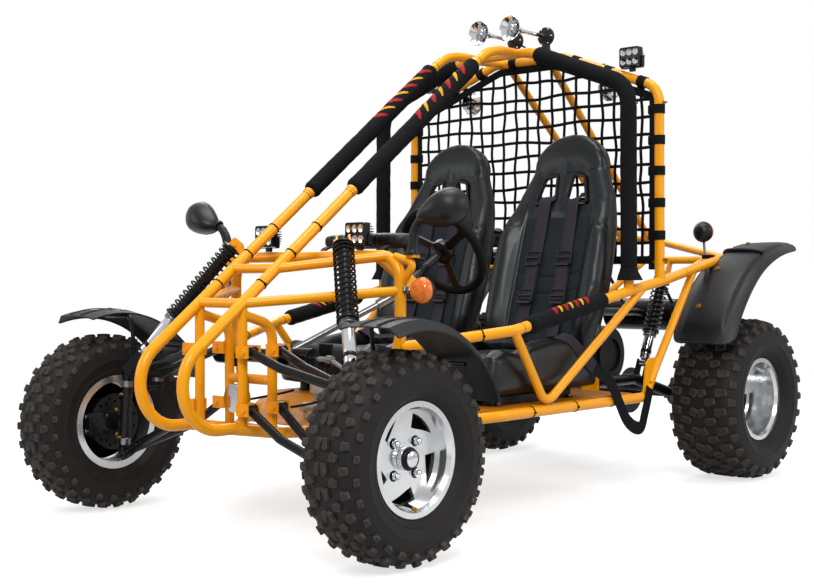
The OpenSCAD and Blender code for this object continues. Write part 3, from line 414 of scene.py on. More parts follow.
def cast(form: Callable[[Array, Array, Array], Array], low: Sequence[float], high: Sequence[float], step: float,
         finish: int = 0) -> Shell:
    """The surface where a field of distances is nil.

    Args:
        form: Gives the distance to the surface at grids of X, Y and Z, negative inside.
        low: Lowest corner of the space searched.
        high: Its highest corner.
        step: Size of a cell.
        finish: Place of the finish in the piece's list.

    Returns:
        The closed shell of even four-cornered faces.
    """
    axes = [np.arange(a, b + step, step) for a, b in zip(low, high)]
    values = form(*np.meshgrid(*axes, indexing="ij")).astype(np.float32)
    grid = openvdb.FloatGrid(float(values.max()))
    grid.copyFromArray(values)
    points, quads = grid.convertToQuads(isovalue=0.0)
    points = np.asarray(points, float) * step + np.asarray(low, float)
    quads = np.asarray(quads, np.int64)
    return Shell(points, [quads], [np.zeros((len(quads), 4, 2))], finish).outward()


def join(a: Array, b: Array, r: float) -> Array:
    """Unites two fields of distances with a fillet.

    Args:
        a: The first field.
        b: The second field.
        r: Size of the fillet.

    Returns:
        The united field.
    """
    h = np.clip(0.5 + 0.5 * (b - a) / r, 0, 1)
    return b + (a - b) * h - r * h * (1 - h)


def carve(a: Array, b: Array, r: float) -> Array:
    """Cuts one field of distances out of another with a rounded edge.

    Args:
        a: The field that stays.
        b: The field that is cut out.
        r: Size of the rounding.

    Returns:
        The field that is left.
    """
    return -join(-a, b, r)


def outline_field(x: Array, y: Array, outline: Array) -> Array:
    """Distance to a closed outline in a plane.

    Args:
        x: First coordinates of the points.
        y: Second coordinates of the points.
        outline: Pairs round the outline.

    Returns:
        Distances, negative inside.
    """
    best = np.full(x.shape, 1e9)
    inside = np.zeros(x.shape, bool)
    for (ax, ay), (bx, by) in zip(outline, np.roll(outline, -1, 0)):
        dx, dy = bx - ax, by - ay
        t = np.clip(((x - ax) * dx + (y - ay) * dy) / (dx * dx + dy * dy), 0, 1)
        best = np.minimum(best, (x - ax - t * dx) ** 2 + (y - ay - t * dy) ** 2)
        if ay != by:
            inside ^= ((y < ay) != (y < by)) & (x < ax + (y - ay) / (by - ay) * dx)
    return np.sqrt(best) * np.where(inside, -1, 1)


# Finishes


class Pattern(Enum):
    """Fine form that a finish lays over a surface."""

    SMOOTH = "smooth"
    PEEL = "peel"
    GRAIN = "grain"
    WEAVE = "weave"
    BRUSHED = "brushed"
    CAST = "cast"
    RUBBER = "rubber"
    FACETS = "facets"


class Graph:
    """Adds nodes to a tree and links them."""

    def __init__(self, tree: bpy.types.NodeTree) -> None:
        """Starts on a tree.

        Args:
            tree: The tree that the nodes go into.
        """
        self.tree = tree

    def add(self, kind: str, inputs: dict[str | int, object] | None = None, **settings: object) -> bpy.types.Node:
        """Adds a node.

        Args:
            kind: The node's type name.
            inputs: Values of its inputs, or the outputs that feed them.
            **settings: The node's own settings.

        Returns:
            The node.
        """
        node = self.tree.nodes.new(kind)
        for key, value in settings.items():
            setattr(node, key, value)
        for key, value in (inputs or {}).items():
            if isinstance(value, bpy.types.NodeSocket):
                self.tree.links.new(value, node.inputs[key])
            else:
                node.inputs[key].default_value = value
        return node

    def sum(self, operation: str, *values: object) -> bpy.types.NodeSocket:
        """Adds a Math node.

        Args:
            operation: What it does.
            *values: Its numbers, or the outputs that feed them.

        Returns:
            Its output.
        """
        return self.add("ShaderNodeMath", dict(enumerate(values)), operation=operation).outputs[0]

    def ramp(self, value: bpy.types.NodeSocket, low: float, high: float) -> bpy.types.NodeSocket:
        """Spreads part of a value's range over 0 to 1.

        Args:
            value: The value.
            low: What becomes 0.
            high: What becomes 1.

        Returns:
            The clamped output.
        """
        return self.add("ShaderNodeMapRange", {"Value": value, "From Min": low, "From Max": high}).outputs["Result"]


def shared_group(name: str, inputs: dict[str, float | None], outputs: Sequence[str],
                 draw: Callable[[Graph, bpy.types.Node], Sequence[bpy.types.NodeSocket]]) -> bpy.types.NodeTree:
    """Makes a shader node group that every finish shares, once.

    Args:
        name: Its name.
        inputs: Input names with their default values, or None for a vector.
        outputs: Names of its value outputs.
        draw: Adds the nodes, given the graph and the group's input node, and returns the outputs' sources.

    Returns:
        The group.
    """
    found = bpy.data.node_groups.get(name)
    if found:
        return found
    tree = bpy.data.node_groups.new(name, "ShaderNodeTree")
    for key, value in inputs.items():
        kind = "NodeSocketVector" if value is None else "NodeSocketFloat"
        made = tree.interface.new_socket(name=key, in_out="INPUT", socket_type=kind)
        if value is not None:
            made.default_value = value
    for key in outputs:
        tree.interface.new_socket(name=key, in_out="OUTPUT", socket_type="NodeSocketFloat")
    graph = Graph(tree)
    start = graph.add("NodeGroupInput")
    sources = draw(graph, start)
    graph.add("NodeGroupOutput", dict(enumerate(sources)))
    return tree


def noise(g: Graph, vector: object, scale: object, detail: float = 3.0, rough: float = 0.6) -> bpy.types.NodeSocket:
    """Adds a noise texture.

    Args:
        g: The graph.
        vector: Where it is read.
        scale: Its scale.
        detail: Its octaves.
        rough: How strong the finer octaves are.

    Returns:
        Its value output.
    """
    node = g.add("ShaderNodeTexNoise", {"Vector": vector, "Scale": scale, "Detail": detail, "Roughness": rough})
    return node.outputs["Fac"]


def draw_tone(g: Graph, start: bpy.types.Node) -> Sequence[bpy.types.NodeSocket]:
    """Uneven tone: broad patches with a little fine mottling.

    Args:
        g: The group's graph.
        start: The group's input node.

    Returns:
        The outputs' sources.
    """
    broad = noise(g, start.outputs["Vector"], start.outputs["Scale"], 2.0)
    fine = noise(g, start.outputs["Vector"], g.sum("MULTIPLY", start.outputs["Scale"], 9.0), 3.0)
    both = g.sum("ADD", g.sum("MULTIPLY", broad, 0.65), g.sum("MULTIPLY", fine, 0.35))
    return [g.ramp(both, 0.34, 0.66)]


def draw_wear(g: Graph, start: bpy.types.Node) -> Sequence[bpy.types.NodeSocket]:
    """Edges that are rubbed: convex places, broken up by noise.

    Args:
        g: The group's graph.
        start: The group's input node.

    Returns:
        The outputs' sources.
    """
    point = g.add("ShaderNodeNewGeometry").outputs["Pointiness"]
    broken = noise(g, start.outputs["Vector"], 90.0, 4.0)
    edge = g.ramp(point, 0.53, 0.62)
    return [g.sum("MULTIPLY", g.sum("MULTIPLY", edge, g.ramp(broken, 0.38, 0.62)), start.outputs["Amount"])]


def draw_dust(g: Graph, start: bpy.types.Node) -> Sequence[bpy.types.NodeSocket]:
    """Dust: more of it low down and on faces that look up, in patches.

    Args:
        g: The group's graph.
        start: The group's input node.

    Returns:
        The outputs' sources.
    """
    place_parts = g.add("ShaderNodeSeparateXYZ", {0: start.outputs["Vector"]})
    low = g.ramp(place_parts.outputs["Z"], 0.75, 0.0)
    normal = g.add("ShaderNodeSeparateXYZ", {0: g.add("ShaderNodeNewGeometry").outputs["Normal"]})
    up = g.ramp(normal.outputs["Z"], -0.4, 1.0)
    patch = g.ramp(noise(g, start.outputs["Vector"], 34.0, 6.0, 0.68), 0.36, 0.74)
    lie = g.sum("ADD", g.sum("MULTIPLY", low, 0.65), g.sum("MULTIPLY", up, 0.35))
    return [g.sum("MULTIPLY", g.sum("MULTIPLY", lie, patch), start.outputs["Amount"])]


def draw_grain(g: Graph, start: bpy.types.Node) -> Sequence[bpy.types.NodeSocket]:
    """Pebbled leather or moulded grain: rounded cells of two sizes.

    Args:
        g: The group's graph.
        start: The group's input node.

    Returns:
        The outputs' sources.
    """
    cells = g.add("ShaderNodeTexVoronoi", {"Vector": start.outputs["Vector"], "Scale": start.outputs["Scale"]},
                  feature="SMOOTH_F1").outputs["Distance"]
    fine = noise(g, start.outputs["Vector"], g.sum("MULTIPLY", start.outputs["Scale"], 1.7), 2.0)
    return [g.sum("ADD", g.sum("MULTIPLY", cells, -0.8), g.sum("MULTIPLY", fine, 0.4))]


def draw_weave(g: Graph, start: bpy.types.Node) -> Sequence[bpy.types.NodeSocket]:
    """Crossed threads: one sine ridge along each surface axis, laid over and under by turns.

    Args:
        g: The group's graph.
        start: The group's input node.

    Returns:
        The outputs' sources.
    """
    parts = g.add("ShaderNodeSeparateXYZ", {0: start.outputs["Vector"]})
    along = g.sum("MULTIPLY", parts.outputs["X"], start.outputs["Scale"])
    across = g.sum("MULTIPLY", parts.outputs["Y"], start.outputs["Scale"])
    warp = g.sum("ABSOLUTE", g.sum("SINE", along))
    weft = g.sum("ABSOLUTE", g.sum("SINE", across))
    turn = g.sum("SINE", g.sum("ADD", along, across))
    over = g.ramp(turn, -0.3, 0.3)
    mixed = g.add("ShaderNodeMix", {"Factor": over, "A": warp, "B": weft}, data_type="FLOAT").outputs["Result"]
    return [mixed]


def draw_lines(g: Graph, start: bpy.types.Node) -> Sequence[bpy.types.NodeSocket]:
    """Brush marks: noise drawn out round the wheel's axis, by the distance from it.

    Args:
        g: The group's graph.
        start: The group's input node.

    Returns:
        The outputs' sources.
    """
    parts = g.add("ShaderNodeSeparateXYZ", {0: start.outputs["Vector"]})
    high = g.sum("MULTIPLY", parts.outputs["X"], 60.0)
    deep = g.sum("MULTIPLY", parts.outputs["Z"], start.outputs["Scale"])
    far = g.add("ShaderNodeCombineXYZ", {0: high, 1: deep, 2: 0.0})
    return [noise(g, far.outputs[0], 1.0, 4.0, 0.7)]


def group_value(g: Graph, name: str, vector: bpy.types.NodeSocket, second: str, amount: float,
                output: str, draw: Callable[[Graph, bpy.types.Node], Sequence[bpy.types.NodeSocket]]
                ) -> bpy.types.NodeSocket:
    """Adds a shared group to a material's tree.

    Args:
        g: The material's graph.
        name: The group's name.
        vector: Where the group is read.
        second: Name of its number input.
        amount: Value of that input.
        output: Name of its output.
        draw: Draws the group the first time.

    Returns:
        The group's output.
    """
    tree = shared_group(name, {"Vector": None, second: amount}, [output], draw)
    node = g.add("ShaderNodeGroup", node_tree=tree)
    g.tree.links.new(vector, node.inputs["Vector"])
    node.inputs[second].default_value = amount
    return node.outputs[output]


def linear(code: str) -> tuple[float, float, float, float]:
    """A screen colour as the renderer's linear one.

    Args:
        code: Six hexadecimal digits.

    Returns:
        Red, green, blue and 1.
    """
    s = np.array([int(code[i:i + 2], 16) for i in (0, 2, 4)]) / 255
    r, g, b = np.where(s <= 0.04045, s / 12.92, ((s + 0.055) / 1.055) ** 2.4)
    return float(r), float(g), float(b), 1.0


@dataclass(frozen=True)
class Finish:
    """How a surface looks.

    Attributes:
        name: The material's name.
        colour: Its colour as six hexadecimal digits.
        rough: Roughness.
        metal: Metallic share.
        coat: Weight of a clear coat.
        pattern: Its fine form.
        scale: Size of that form, in repeats a metre.
        bump: Depth of that form in metres.
        second: Colour of its uneven patches.
        uneven: How much of the second colour shows.
        dust: How much dust lies on it.
        worn: How much of its edges is rubbed.
        bare: Colour of a rubbed edge.
        clear: Share of light that goes through it.
        glow: Strength of its own light.
        flat: Whether the pattern follows the piece's surface coordinates.
        gloss: Level of its plain reflection.
    """

    name: str
    colour: str
    rough: float
    metal: float = 0.0
    coat: float = 0.0
    pattern: Pattern = Pattern.SMOOTH
    scale: float = 300.0
    bump: float = 0.0002
    second: str = "000000"
    uneven: float = 0.0
    dust: float = 0.0
    worn: float = 0.0
    bare: str = "8C8C88"
    clear: float = 0.0
    glow: float = 0.0
    flat: bool = False
    gloss: float = 0.5

    def fine_form(self, g: Graph, vector: bpy.types.NodeSocket, surface: bpy.types.NodeSocket
                  ) -> bpy.types.NodeSocket | None:
        """Adds the nodes of the fine form.

        Args:
            g: The material's graph.
            vector: Object coordinates.
            surface: The piece's surface coordinates.

        Returns:
            Its height output, or None for a smooth finish.
        """
        where = surface if self.flat else vector
        if self.pattern is Pattern.GRAIN:
            return group_value(g, "leather_grain", where, "Scale", self.scale, "Height", draw_grain)
        if self.pattern is Pattern.WEAVE:
            return group_value(g, "thread_weave", where, "Scale", self.scale, "Height", draw_weave)
        if self.pattern is Pattern.BRUSHED:
            return group_value(g, "brush_lines", where, "Scale", self.scale, "Height", draw_lines)
        if self.pattern is Pattern.FACETS:
            return g.add("ShaderNodeTexVoronoi", {"Vector": where, "Scale": self.scale}).outputs["Distance"]
        if self.pattern in (Pattern.PEEL, Pattern.CAST, Pattern.RUBBER):
            return noise(g, where, self.scale, 2.0 if self.pattern is Pattern.PEEL else 6.0)
        return None

    def material(self) -> bpy.types.Material:
        """The finish as a material, made the first time.

        Returns:
            The material.
        """
        name = f"{self.name}_finish"
        found = bpy.data.materials.get(name)
        if found:
            return found
        made = bpy.data.materials.new(name)
        made.use_nodes = True
        tree = made.node_tree
        tree.nodes.clear()
        g = Graph(tree)
        coords = g.add("ShaderNodeTexCoord")
        vector, surface = coords.outputs["Object"], coords.outputs["UV"]
        colour: object = linear(self.colour)
        rough: object = self.rough
        if self.uneven > 0:
            tone = group_value(g, "uneven_tone", vector, "Scale", 9.0, "Tone", draw_tone)
            share = g.sum("MULTIPLY", tone, self.uneven)
            colour = g.add("ShaderNodeMix", {"Factor": share, 6: colour, 7: linear(self.second)},
                           data_type="RGBA").outputs[2]
            rough = g.sum("ADD", self.rough - 0.05, g.sum("MULTIPLY", tone, 0.1))
        if self.worn > 0:
            worn = group_value(g, "edge_wear", vector, "Amount", self.worn, "Mask", draw_wear)
            colour = g.add("ShaderNodeMix", {"Factor": worn, 6: colour, 7: linear(self.bare)},
                           data_type="RGBA").outputs[2]
        if self.dust > 0:
            dust = group_value(g, "road_dust", vector, "Amount", self.dust, "Mask", draw_dust)
            colour = g.add("ShaderNodeMix", {"Factor": dust, 6: colour, 7: linear("8A7A66")},
                           data_type="RGBA").outputs[2]
            rough = g.add("ShaderNodeMix", {"Factor": dust, "A": rough, "B": 0.92}, data_type="FLOAT").outputs[0]
        shader = g.add("ShaderNodeBsdfPrincipled", {
            "Base Color": colour, "Roughness": rough, "Metallic": self.metal, "Coat Weight": self.coat,
            "Coat Roughness": 0.08, "Transmission Weight": self.clear, "Emission Strength": self.glow,
            "Specular IOR Level": self.gloss})
        if self.glow > 0:
            shader.inputs["Emission Color"].default_value = linear(self.colour)
        height = self.fine_form(g, vector, surface)
        if height is not None:
            bump = g.add("ShaderNodeBump", {"Height": height, "Distance": self.bump, "Strength": 1.0})
            tree.links.new(bump.outputs[0], shader.inputs["Normal"])
        g.add("ShaderNodeOutputMaterial", {"Surface": shader.outputs[0]})
        return made


PAINT = Finish("frame_paint", "FDA908", 0.24, coat=0.18, pattern=Pattern.PEEL, scale=420, bump=0.000006,
               second="F59B04", uneven=0.35, gloss=0.25)
PAN = Finish("pan_paint", "C47A08", 0.5, coat=0.05, pattern=Pattern.PEEL, scale=260, bump=0.00004,
             second="945806", uneven=0.5, dust=0.03, gloss=0.12)
BLACK_METAL = Finish("black_metal", "0C0D0F", 0.28, coat=0.15, pattern=Pattern.PEEL, scale=380, bump=0.000012,
                     second="0D0E11", uneven=0.5, dust=0.02, worn=0.03, gloss=0.15)
FOAM = Finish("foam_cover", "121315", 0.85, pattern=Pattern.WEAVE, scale=2600, bump=0.00025,
              second="1B1C1F", uneven=0.6, flat=True, gloss=0.1)
VINYL = Finish("seat_vinyl", "0E1214", 0.36, coat=0.05, pattern=Pattern.GRAIN, scale=420, bump=0.00022,
               second="161C20", uneven=0.55, gloss=0.3)
MESH_CLOTH = Finish("seat_cloth", "0E151A", 0.6, pattern=Pattern.GRAIN, scale=300, bump=0.0004,
                    second="172026", uneven=0.5, gloss=0.2)
WEBBING = Finish("belt_webbing", "302B35", 0.66, pattern=Pattern.WEAVE, scale=1700, bump=0.0003,
                 second="38333E", uneven=0.5, flat=True, gloss=0.15)
NET_WEB = Finish("net_webbing", "0D0E10", 0.7, pattern=Pattern.WEAVE, scale=2300, bump=0.0002,
                 second="17181B", uneven=0.5, flat=True, gloss=0.1)
CAST_METAL = Finish("cast_metal", "17191B", 0.5, metal=0.5, pattern=Pattern.CAST, scale=520, bump=0.0004,
                    second="2A2C2E", uneven=0.6, dust=0.1, worn=0.2, bare="6C6C69", gloss=0.3)
BLACK_PLASTIC = Finish("black_plastic", "0D0E10", 0.38, pattern=Pattern.GRAIN, scale=900, bump=0.00008,
                       second="16171A", uneven=0.4, dust=0.02, gloss=0.3)
FENDER = Finish("fender_plastic", "121417", 0.46, coat=0.0, pattern=Pattern.GRAIN, scale=700, bump=0.0001,
                second="1B1E22", uneven=0.5, dust=0.03, gloss=0.28)
CHROME = Finish("chrome", "D9DBDE", 0.07, metal=1.0, second="B4B8BC", uneven=0.4)
RIM_METAL = Finish("rim_metal", "DCDDDE", 0.2, metal=0.9, pattern=Pattern.BRUSHED, scale=900, bump=0.00003,
                   second="B9BCBE", uneven=0.4, dust=0.02)
STEEL = Finish("steel", "8D9093", 0.3, metal=1.0, pattern=Pattern.BRUSHED, scale=1300, bump=0.00004,
               second="66696D", uneven=0.5, dust=0.05)
GOLD_ZINC = Finish("gold_zinc", "A98435", 0.32, metal=1.0, pattern=Pattern.CAST, scale=700, bump=0.00006,
                   second="84693A", uneven=0.6)
RUBBER = Finish("soft_rubber", "0F0F0F", 0.55, pattern=Pattern.RUBBER, scale=380, bump=0.00015,
                second="0E0E0E", uneven=0.5, dust=0.02, gloss=0.1)
# A lighter copy of the tyre's rubber for the lugs: painted light on the lug tops.
LUGS_PAINTED_LIGHT = Finish("tyre_lugs_painted_light", "221E1C", 0.66, pattern=Pattern.RUBBER, scale=420, bump=0.0004,
               second="302B28", uneven=0.7, dust=0.05, worn=0.5, bare="6A635B", gloss=0.3)
TYRE = Finish("tyre", "0F0D0D", 0.62, pattern=Pattern.RUBBER, scale=320, bump=0.0005,
              second="191615", uneven=0.6, dust=0.03, worn=0.2, bare="4A443F", gloss=0.25)
LENS = Finish("lens_orange", "EE6406", 0.14, coat=0.25, pattern=Pattern.FACETS, scale=150, bump=0.001,
              second="FF9A2C", uneven=0.7, clear=0.1, glow=0.04)
LAMP_GLASS = Finish("lamp_glass", "DDE6EA", 0.05, coat=0.5, second="F4F7F8", uneven=0.3, clear=0.85)
RESERVOIR = Finish("reservoir_plastic", "C9C6BA", 0.45, pattern=Pattern.GRAIN, scale=500, bump=0.00006,
                   second="A9A491", uneven=0.5)
# Black for seams and stitching. The same black is also painted shade behind the rim windows, round the wheel nuts, in
# the brake disc's holes and in the steering spokes' hollows.
DARK_TRIM_AND_SHADE = Finish("dark_trim_and_painted_shade", "060607", 0.8, pattern=Pattern.RUBBER, scale=300, bump=0.0002,
              second="070707", uneven=0.5, gloss=0.02)
BAND_RED = Finish("band_red", "A81814", 0.6, pattern=Pattern.WEAVE, scale=2600, bump=0.0002,
                  second="7C100D", uneven=0.4, flat=True, gloss=0.15)
BAND_YELLOW = Finish("band_yellow", "DCA912", 0.6, pattern=Pattern.WEAVE, scale=2600, bump=0.0002,
                     second="B87F0C", uneven=0.4, flat=True, gloss=0.15)


# Pieces


def build(name: str, shells: Sequence[Shell], finishes: Sequence[Finish], body: str,
          stands_for: Sequence[str] = (), crease: float = 38.0) -> bpy.types.Object:
    """Makes a mesh object of shells, riding on a body of the frame.

    Args:
        name: The piece's name.
        shells: Its shells.
        finishes: Finishes that the shells name by place.
        body: The body that it rides on.
        stands_for: CAD nodes that it is shown in place of.
        crease: Angle in degrees past which an edge is sharp.

    Returns:
        The object.
    """
    points, loops, sizes, numbers, flats = [], [], [], [], []
    base = 0
    for shell in shells:
        points.append(shell.points)
        for block, flat in zip(shell.faces, shell.coords):
            loops.append((block + base).ravel())
            flats.append(flat.reshape(-1, 2))
            sizes.append(np.full(len(block), block.shape[1]))
            numbers.append(np.full(len(block), shell.finish))
        base += len(shell.points)
    sizes_all = np.concatenate(sizes)
    mesh = bpy.data.meshes.new(name)
    mesh.vertices.add(base)
    mesh.vertices.foreach_set("co", np.concatenate(points).astype(np.float32).ravel())
    mesh.loops.add(int(sizes_all.sum()))
    mesh.loops.foreach_set("vertex_index", np.concatenate(loops).astype(np.int32))
    mesh.polygons.add(len(sizes_all))
    mesh.polygons.foreach_set("loop_start", np.concatenate([[0], np.cumsum(sizes_all)[:-1]]).astype(np.int32))
    mesh.polygons.foreach_set("material_index", np.concatenate(numbers).astype(np.int32))
    mesh.polygons.foreach_set("use_smooth", np.ones(len(sizes_all), bool))
    layer = mesh.uv_layers.new(name="surface")
    layer.data.foreach_set("uv", np.concatenate(flats).astype(np.float32).ravel())
    mesh.update(calc_edges=True)
    mesh.set_sharp_from_angle(angle=math.radians(crease))
    for finish in finishes:
        mesh.materials.append(finish.material())
    piece = bpy.data.objects.new(name, mesh)
    bpy.context.scene.collection.objects.link(piece)
    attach(piece, body)
    if stands_for:
        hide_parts(*stands_for)
    log.info("%s: %d faces on %s", name, len(sizes_all), body)
    return piece


def dress(nodes: dict[str, Finish]) -> None:
    """Gives shown CAD nodes their finishes.

    Args:
        nodes: A finish for each node's name.
    """
    for name, finish in nodes.items():
        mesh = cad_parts[name].data
        mesh.materials.clear()
        mesh.materials.append(finish.material())
        log.info("%s: %s", name, finish.name)


# Wheels


@dataclass(frozen=True)
class LugRow:
    """A row of lugs round a tyre.

    Attributes:
        across: Place across the tyre, as a share of its half width.
        width: Width of a lug in metres.
        length: Its length round the tyre.
        shift: Where the row starts, as a share of a pitch.
        turn: Turn of a lug on the tread in degrees.
        narrow: Length of its outer side, as a share of its length.
        hollow: Distance of its recess from its edge, or nil for none.
    """

    across: float
    width: float
    length: float
    shift: float
    turn: float = 0.0
    narrow: float = 0.7
    hollow: float = 0.0045

    def outline(self) -> Array:
        """The lug's outline: a block with cut corners that narrows outwards.

        Returns:
            Anticlockwise pairs, across the tyre and round it.
        """
        shape = np.array([
            [-0.5, -0.36], [-0.32, -0.5], [0.28, -0.5 * (1 + self.narrow) / 2], [0.5, -0.5 * self.narrow],
            [0.5, 0.5 * self.narrow], [0.28, 0.5 * (1 + self.narrow) / 2], [-0.32, 0.5], [-0.5, 0.36]])
        return shape * [self.width, self.length]


FRONT_ROWS = (
    LugRow(0.115, 0.0145, 0.031, 0.0, 10, 0.72, 0.0),
    LugRow(0.42, 0.0195, 0.0215, 0.5, -14, 0.66, 0.0),
    LugRow(0.72, 0.0195, 0.0215, 0.0, 8, 0.66, 0.0),
    LugRow(0.93, 0.0140, 0.0190, 0.5, 0, 0.7, 0.0),
)
REAR_ROWS = (
    LugRow(0.115, 0.026, 0.027, 0.0, 24, 0.8),
    LugRow(0.36, 0.034, 0.025, 0.42, 14, 0.72),
    LugRow(0.64, 0.036, 0.027, 0.92, 8, 0.66),
    LugRow(0.88, 0.026, 0.026, 0.42, 0, 0.62, 0.0),
)


@dataclass(frozen=True)
class Tyre:
    """A knobby tyre on an axle along X.

    Attributes:
        d: Outer diameter.
        w: Width.
        rows: Its rows of lugs on one side of the middle.
        pitches: Lugs in a row.
        bead_r: Radius of its bead.
        lug_h: Height of a lug.
    """

    d: float
    w: float
    rows: tuple[LugRow, ...]
    pitches: int
    bead_r: float = 0.128
    lug_h: float = 0.0098

    def section(self) -> Array:
        """The carcass's half section: bead, sidewall, round shoulder and flat crown.

        Returns:
            Pairs of radius and distance from the middle, bead first.
        """
        crown = self.d / 2 - self.lug_h - 0.0006
        share = np.array([
            [0.0, 0.62], [0.10, 0.675], [0.13, 0.74], [0.19, 0.83], [0.25, 0.895], [0.262, 0.915], [0.275, 0.905],
            [0.36, 0.955], [0.47, 0.985], [0.485, 0.999], [0.50, 0.99], [0.62, 0.985], [0.74, 0.955], [0.84, 0.895],
            [0.91, 0.81], [0.96, 0.69], [0.985, 0.52], [0.995, 0.28], [1.0, 0.0]])
        return np.stack([self.bead_r + share[:, 0] * (crown - self.bead_r), share[:, 1] * self.w / 2], 1)

    def shells(self) -> list[Shell]:
        """The carcass and its lugs round the X axis at the origin.

        Returns:
            The shells.
        """
        half = self.section()
        other = half[-2::-1] * [1, -1]
        axis = place((0, 0, 0), (1, 0, 0))
        made = [lathe(np.concatenate([half, other]), axis, 120, closed=True)]
        spin = turns(self.pitches)
        round_x = np.tile(np.eye(4), (self.pitches, 1, 1))
        round_x[:, 1:3, 1:3] = spin[:, :2, :2]
        by_width = half[half[:, 1].argmax():][::-1]
        slope = np.gradient(by_width[:, 0], by_width[:, 1])
        for row in self.rows:
            x = row.across * self.w / 2
            r = float(np.interp(x, by_width[:, 1], by_width[:, 0]))
            lean = math.atan(-float(np.interp(x, by_width[:, 1], slope)))
            lean = min(lean, 0.95)
            lug = self.lug(row)
            roll = Matrix.Rotation(math.tau / self.pitches * row.shift, 4, "X")
            for side in (1, -1):
                up = np.array([math.sin(lean), 0.0, math.cos(lean)])
                seat = place((x, 0, r), up, (1, 0, 0)) @ np.array(Matrix.Rotation(math.radians(row.turn), 4, "Z"))
                seat = seat if side > 0 else MIRROR @ seat
                made.append(lug.at(round_x @ (np.array(roll) @ seat)))
        return made

    def lug(self, row: LugRow) -> Shell:
        """A lug: a foot that flares into the carcass, bevelled edges and a shallow recess.

        Args:
            row: Its row.

        Returns:
            The lug with its foot below the origin.
        """
        outline = row.outline()
        top = self.lug_h - 0.0008
        levels = [(inset(outline, -0.0020), -0.006), (inset(outline, -0.0006), 0.0006), (outline, top - 0.0014),
                  (inset(outline, 0.0013), top)]
        if row.hollow:
            levels += [(inset(outline, row.hollow), top - 0.0002),
                       (inset(outline, row.hollow + 0.0016), top - 0.0026)]
        else:
            levels.append((inset(outline, 0.0042), top + 0.0003))
        rows = np.stack([np.column_stack([o, np.full(len(o), z)]) for o, z in levels])
        # The lugs take the second finish, a lighter copy of the carcass rubber: painted light on the lug tops.
        return skin(rows, finish=1)


@dataclass(frozen=True)
class RimTrim:
    """Nuts, cap, valve and bolt heads on a rim.

    Attributes:
        face: Distance of the disc's outer face from the wheel's middle.
        lip: Distance of the rim's outer edge from the wheel's middle.
        nut_r: Radius of the nuts' circle.
    """

    face: float
    lip: float
    nut_r: float = 0.055

    def shells(self) -> list[Shell]:
        """The trim of a wheel whose outer side is +X, round the X axis at the origin.

        Returns:
            The shells: 0 chrome, 1 dark (painted shade round the nuts and behind the rim's windows), 2 rubber, 3
                brass.
        """
        axis = place((self.face, 0, 0), (1, 0, 0), (0, 0, 1))
        nut = lathe([(0.0098, 0.0), (0.0098, 0.004), (0.0086, 0.0055), (0.0084, 0.013), (0.0072, 0.0165),
                     (0.004, 0.0186), (0.0008, 0.0192)], steps=18)
        flats = slab(circle(0.0105, 6), 0.001, 0.011, 0.0012)
        spots = np.asarray(axis) @ turns(4, self.nut_r, 45)
        # Dark rings round the nut seats: painted shade in the recess about each nut.
        cup = lathe([(0.0112, -0.006), (0.0112, 0.0004), (0.0138, 0.0004), (0.0138, -0.006)], steps=32, closed=True,
                    finish=1)
        knurl = np.stack([
            np.column_stack([circle(1, 60) * (r + d * np.tile([0.0, 1.0], 30))[:, None], np.full(60, z)])
            for r, z, d in ((0.0285, 0.001, 0.0), (0.029, 0.004, 0.0009), (0.029, 0.013, 0.0009),
                            (0.0272, 0.0155, 0.0), (0.024, 0.0175, 0.0))])
        cap = skin(knurl).at(axis)
        dome = lathe([(0.0232, 0.017), (0.0228, 0.0240), (0.0205, 0.0285), (0.0160, 0.0312), (0.0080, 0.0324),
                      (0.0005, 0.0326)], axis, 40)
        bore = lathe([(0.0292, -0.001), (0.0292, 0.0012), (0.034, 0.0012), (0.034, -0.001)], axis, 48, closed=True)
        valve_at = place((self.face + 0.004, 0.0, -0.112), (1, 0, -0.25))
        valve = lathe([(0.0062, 0.0), (0.0054, 0.006), (0.0042, 0.012), (0.0040, 0.026), (0.0034, 0.0265)], valve_at,
                      20, finish=2)
        stem = lathe([(0.0044, 0.026), (0.0046, 0.028), (0.0046, 0.037), (0.0038, 0.039), (0.0005, 0.0394)],
                     valve_at, 20, finish=3)
        bead = lathe([(0.1268, 0.0), (0.1284, 0.0012), (0.1284, 0.0030), (0.1268, 0.0042)],
                     place((self.lip - 0.0105, 0, 0), (1, 0, 0)), 96, closed=True)
        # A dark disc behind the rim's windows: painted shade seen through them.
        back = lathe([(0.036, -0.016), (0.117, -0.014), (0.117, -0.019), (0.036, -0.021)], axis, 64, closed=True,
                     finish=1)
        return [nut.at(spots), flats.at(spots), cup.at(spots), cap, dome, bore, valve, stem, bead, back]


